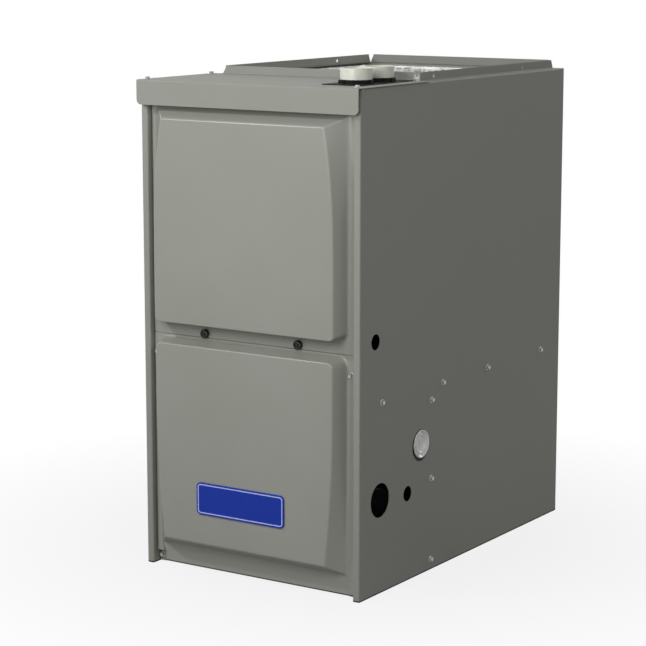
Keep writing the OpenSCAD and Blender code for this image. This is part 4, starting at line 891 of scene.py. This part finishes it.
low, high = boxOf("trap_cap")
centre = (0, (low[1] + high[1]) / 2, (low[2] + high[2]) / 2)
makePiece("trapCap", placed(trapCapSurface(trapCapShape, low[0], high[0]), centre, "x"),
          trapCapWhite, "cabinet", ["trap_cap"])
print("trap cap made")


# The foil-faced lining of the heat exchanger compartment.

liningShape = {
    "thick": 12.0,
    "edge": 1.5,              # the foil stands this far back along its edges
    "tuck": 1.5,              # the rear wall's ends, inside the side walls
    "crumple": 1.7,
    "waves": (140, 18, 16),   # longest, shortest, how many
    "cell": 6,
    "seeds": {"right": 3, "left": 4, "rear": 5},
    "crease": 12,
}


def crumple(u, v, seed):
    # sum of triangle waves in seeded directions and lengths, which leaves straight sharp creases
    rng = np.random.default_rng(seed)
    total = np.zeros_like(u)
    for length in np.geomspace(*liningShape["waves"]):
        turn, shift = rng.uniform(0, math.pi), rng.uniform(0, 1)
        phase = (u * math.cos(turn) + v * math.sin(turn)) / length + shift
        total += np.abs(np.mod(phase, 1) - 0.5) * length
    return (total - total.min()) / (total.max() - total.min())


def linedWall(low, high, axis, side, seed):
    # a slab whose inner face, on the given side of the given axis, is crumpled
    across = 1 - axis
    cell = liningShape["cell"]
    rows, columns = int((high[2] - low[2]) / cell), int((high[across] - low[across]) / cell)
    u, v = np.meshgrid(np.linspace(low[across], high[across], columns),
                       np.linspace(low[2], high[2], rows))
    height = liningShape["crumple"] * (1 - crumple(u, v, seed))
    edge = np.minimum.reduce([u - u.min(), u.max() - u, v - v.min(), v.max() - v])
    height = np.where(edge <= 0, liningShape["edge"], height)
    grid = np.zeros(u.shape + (3,))
    grid[..., across] = u
    grid[..., 2] = v
    grid[..., axis] = (low[axis] + height) if side < 0 else (high[axis] - height)
    back = grid.copy()
    back[..., axis] = high[axis] if side < 0 else low[axis]
    rims = ((back[0], grid[0]), (grid[-1], back[-1]), (grid[:, 0], back[:, 0]),
            (back[:, -1], grid[:, -1]))
    made = together([gridSurface(grid), turned(gridSurface(back))]
                    + [gridSurface(np.stack(rim)) for rim in rims])
    return made if (axis == 1) == (side < 0) else turned(made)


(leftX, frontY, lowZ), (rightX, rearY, highZ) = boxOf("duct_liners")
thick, tuck, seeds = liningShape["thick"], liningShape["tuck"], liningShape["seeds"]
cornerY = rearY - thick
lining = [linedWall((rightX - thick, frontY, lowZ), (rightX, cornerY, highZ), 0, -1, seeds["right"]),
          linedWall((leftX, frontY, lowZ), (leftX + thick, cornerY, highZ), 0, 1, seeds["left"]),
          linedWall((leftX + tuck, cornerY, lowZ), (rightX - tuck, rearY, highZ), 1, -1,
                    seeds["rear"])]
makePiece("foilLining", together(lining), finishes["foil_liner"], "cabinet",
          ["duct_liners"], crease=liningShape["crease"])
print("lining made")


# Floor, backdrop and lamps, in metres and watts.

studio = {
    "floorColour": "#8C8C8A",
    "floorSize": 60.0,
    "floorPoints": 64,
    "shadow": (0.3, 1.0),      # it is whole up to the first distance and gone at the second
    "shadowShare": 0.85,
    "worldLight": 0.2,
    "aim": (0, -0.3, 0.7),
    "lamps": {"front": {"place": (0.15, -1.62, 1.1), "size": 0.8, "power": 10.0},
              "key": {"place": (-1.1, -1.6, 1.9), "size": 0.2, "power": 15.0},
              "right": {"place": (2.3, -1.7, 1.8), "size": 0.8, "power": 10.7},
              "left": {"place": (-2.4, 0.3, 2.0), "size": 0.8, "power": 12.0},
              "back": {"place": (0.5, 2.7, 1.8), "size": 0.8, "power": 14.0}},
}


def directView(tree):
    # 1 for camera rays and for those in mirrors and glass, 0 for the rays that light the object
    rays = addNode(tree, "LightPath").outputs
    seen = addNode(tree, "Math", {0: rays["Is Camera Ray"], 1: rays["Is Glossy Ray"]},
                   operation="MAXIMUM")
    seen = addNode(tree, "Math", {0: seen.outputs[0], 1: rays["Is Transmission Ray"]},
                   operation="MAXIMUM")
    return seen.outputs[0]


floorMesh = bpy.data.meshes.new("floor")
reach = studio["floorSize"] / 2
angle = np.linspace(0, 2 * math.pi, studio["floorPoints"], endpoint=False)
disc = np.stack([reach * np.cos(angle), reach * np.sin(angle), 0 * angle], -1)
floorMesh.from_pydata(disc.tolist(), [], [list(range(len(disc)))])
floor = bpy.data.objects.new("floor", floorMesh)
bpy.context.scene.collection.objects.link(floor)

# The floor is pale. Camera and mirror rays see it as white, and keep part of its shading near the
# object, so that the shadow shows.
floorPaint = bpy.data.materials.new("floorPaint")
floorPaint.use_nodes = True
tree = floorPaint.node_tree
tree.nodes.clear()
pale = addNode(tree, "BsdfDiffuse", {"Color": linear(studio["floorColour"])})
white = addNode(tree, "Emission", {"Color": (1, 1, 1, 1), "Strength": 1.0})
away = addNode(tree, "VectorMath", {0: addNode(tree, "TexCoord").outputs["Object"]},
               operation="LENGTH")
share = addNode(tree, "MapRange", {"Value": away.outputs["Value"], "From Min": studio["shadow"][0],
                                   "From Max": studio["shadow"][1],
                                   "To Min": studio["shadowShare"], "To Max": 1.0})
whiteness = addNode(tree, "Math", {0: directView(tree), 1: share.outputs["Result"]},
                    operation="MULTIPLY")
mixed = addNode(tree, "MixShader", {0: whiteness.outputs[0], 1: pale.outputs[0],
                                    2: white.outputs[0]})
addNode(tree, "OutputMaterial", {"Surface": mixed.outputs[0]})
floorMesh.materials.append(floorPaint)

world = bpy.data.worlds.new("studioWorld")
bpy.context.scene.world = world
world.use_nodes = True
tree = world.node_tree
tree.nodes.clear()
strength = addNode(tree, "MapRange", {"Value": directView(tree), "To Min": studio["worldLight"],
                                      "To Max": 1.0})
sky = addNode(tree, "Background", {"Color": (1, 1, 1, 1), "Strength": strength.outputs["Result"]})
addNode(tree, "OutputWorld", {"Surface": sky.outputs[0]})

for name, lamp in studio["lamps"].items():
    data = bpy.data.lights.new(name + "Lamp", "AREA")
    data.shape = "DISK"
    data.size = lamp["size"]
    data.energy = lamp["power"]
    light = bpy.data.objects.new(name + "Lamp", data)
    light.location = lamp["place"]
    toward = Vector(studio["aim"]) - Vector(lamp["place"])
    light.rotation_euler = toward.to_track_quat("-Z", "Y").to_euler()
    bpy.context.scene.collection.objects.link(light)

bpy.context.scene.view_settings.view_transform = "Standard"
print("studio lit")
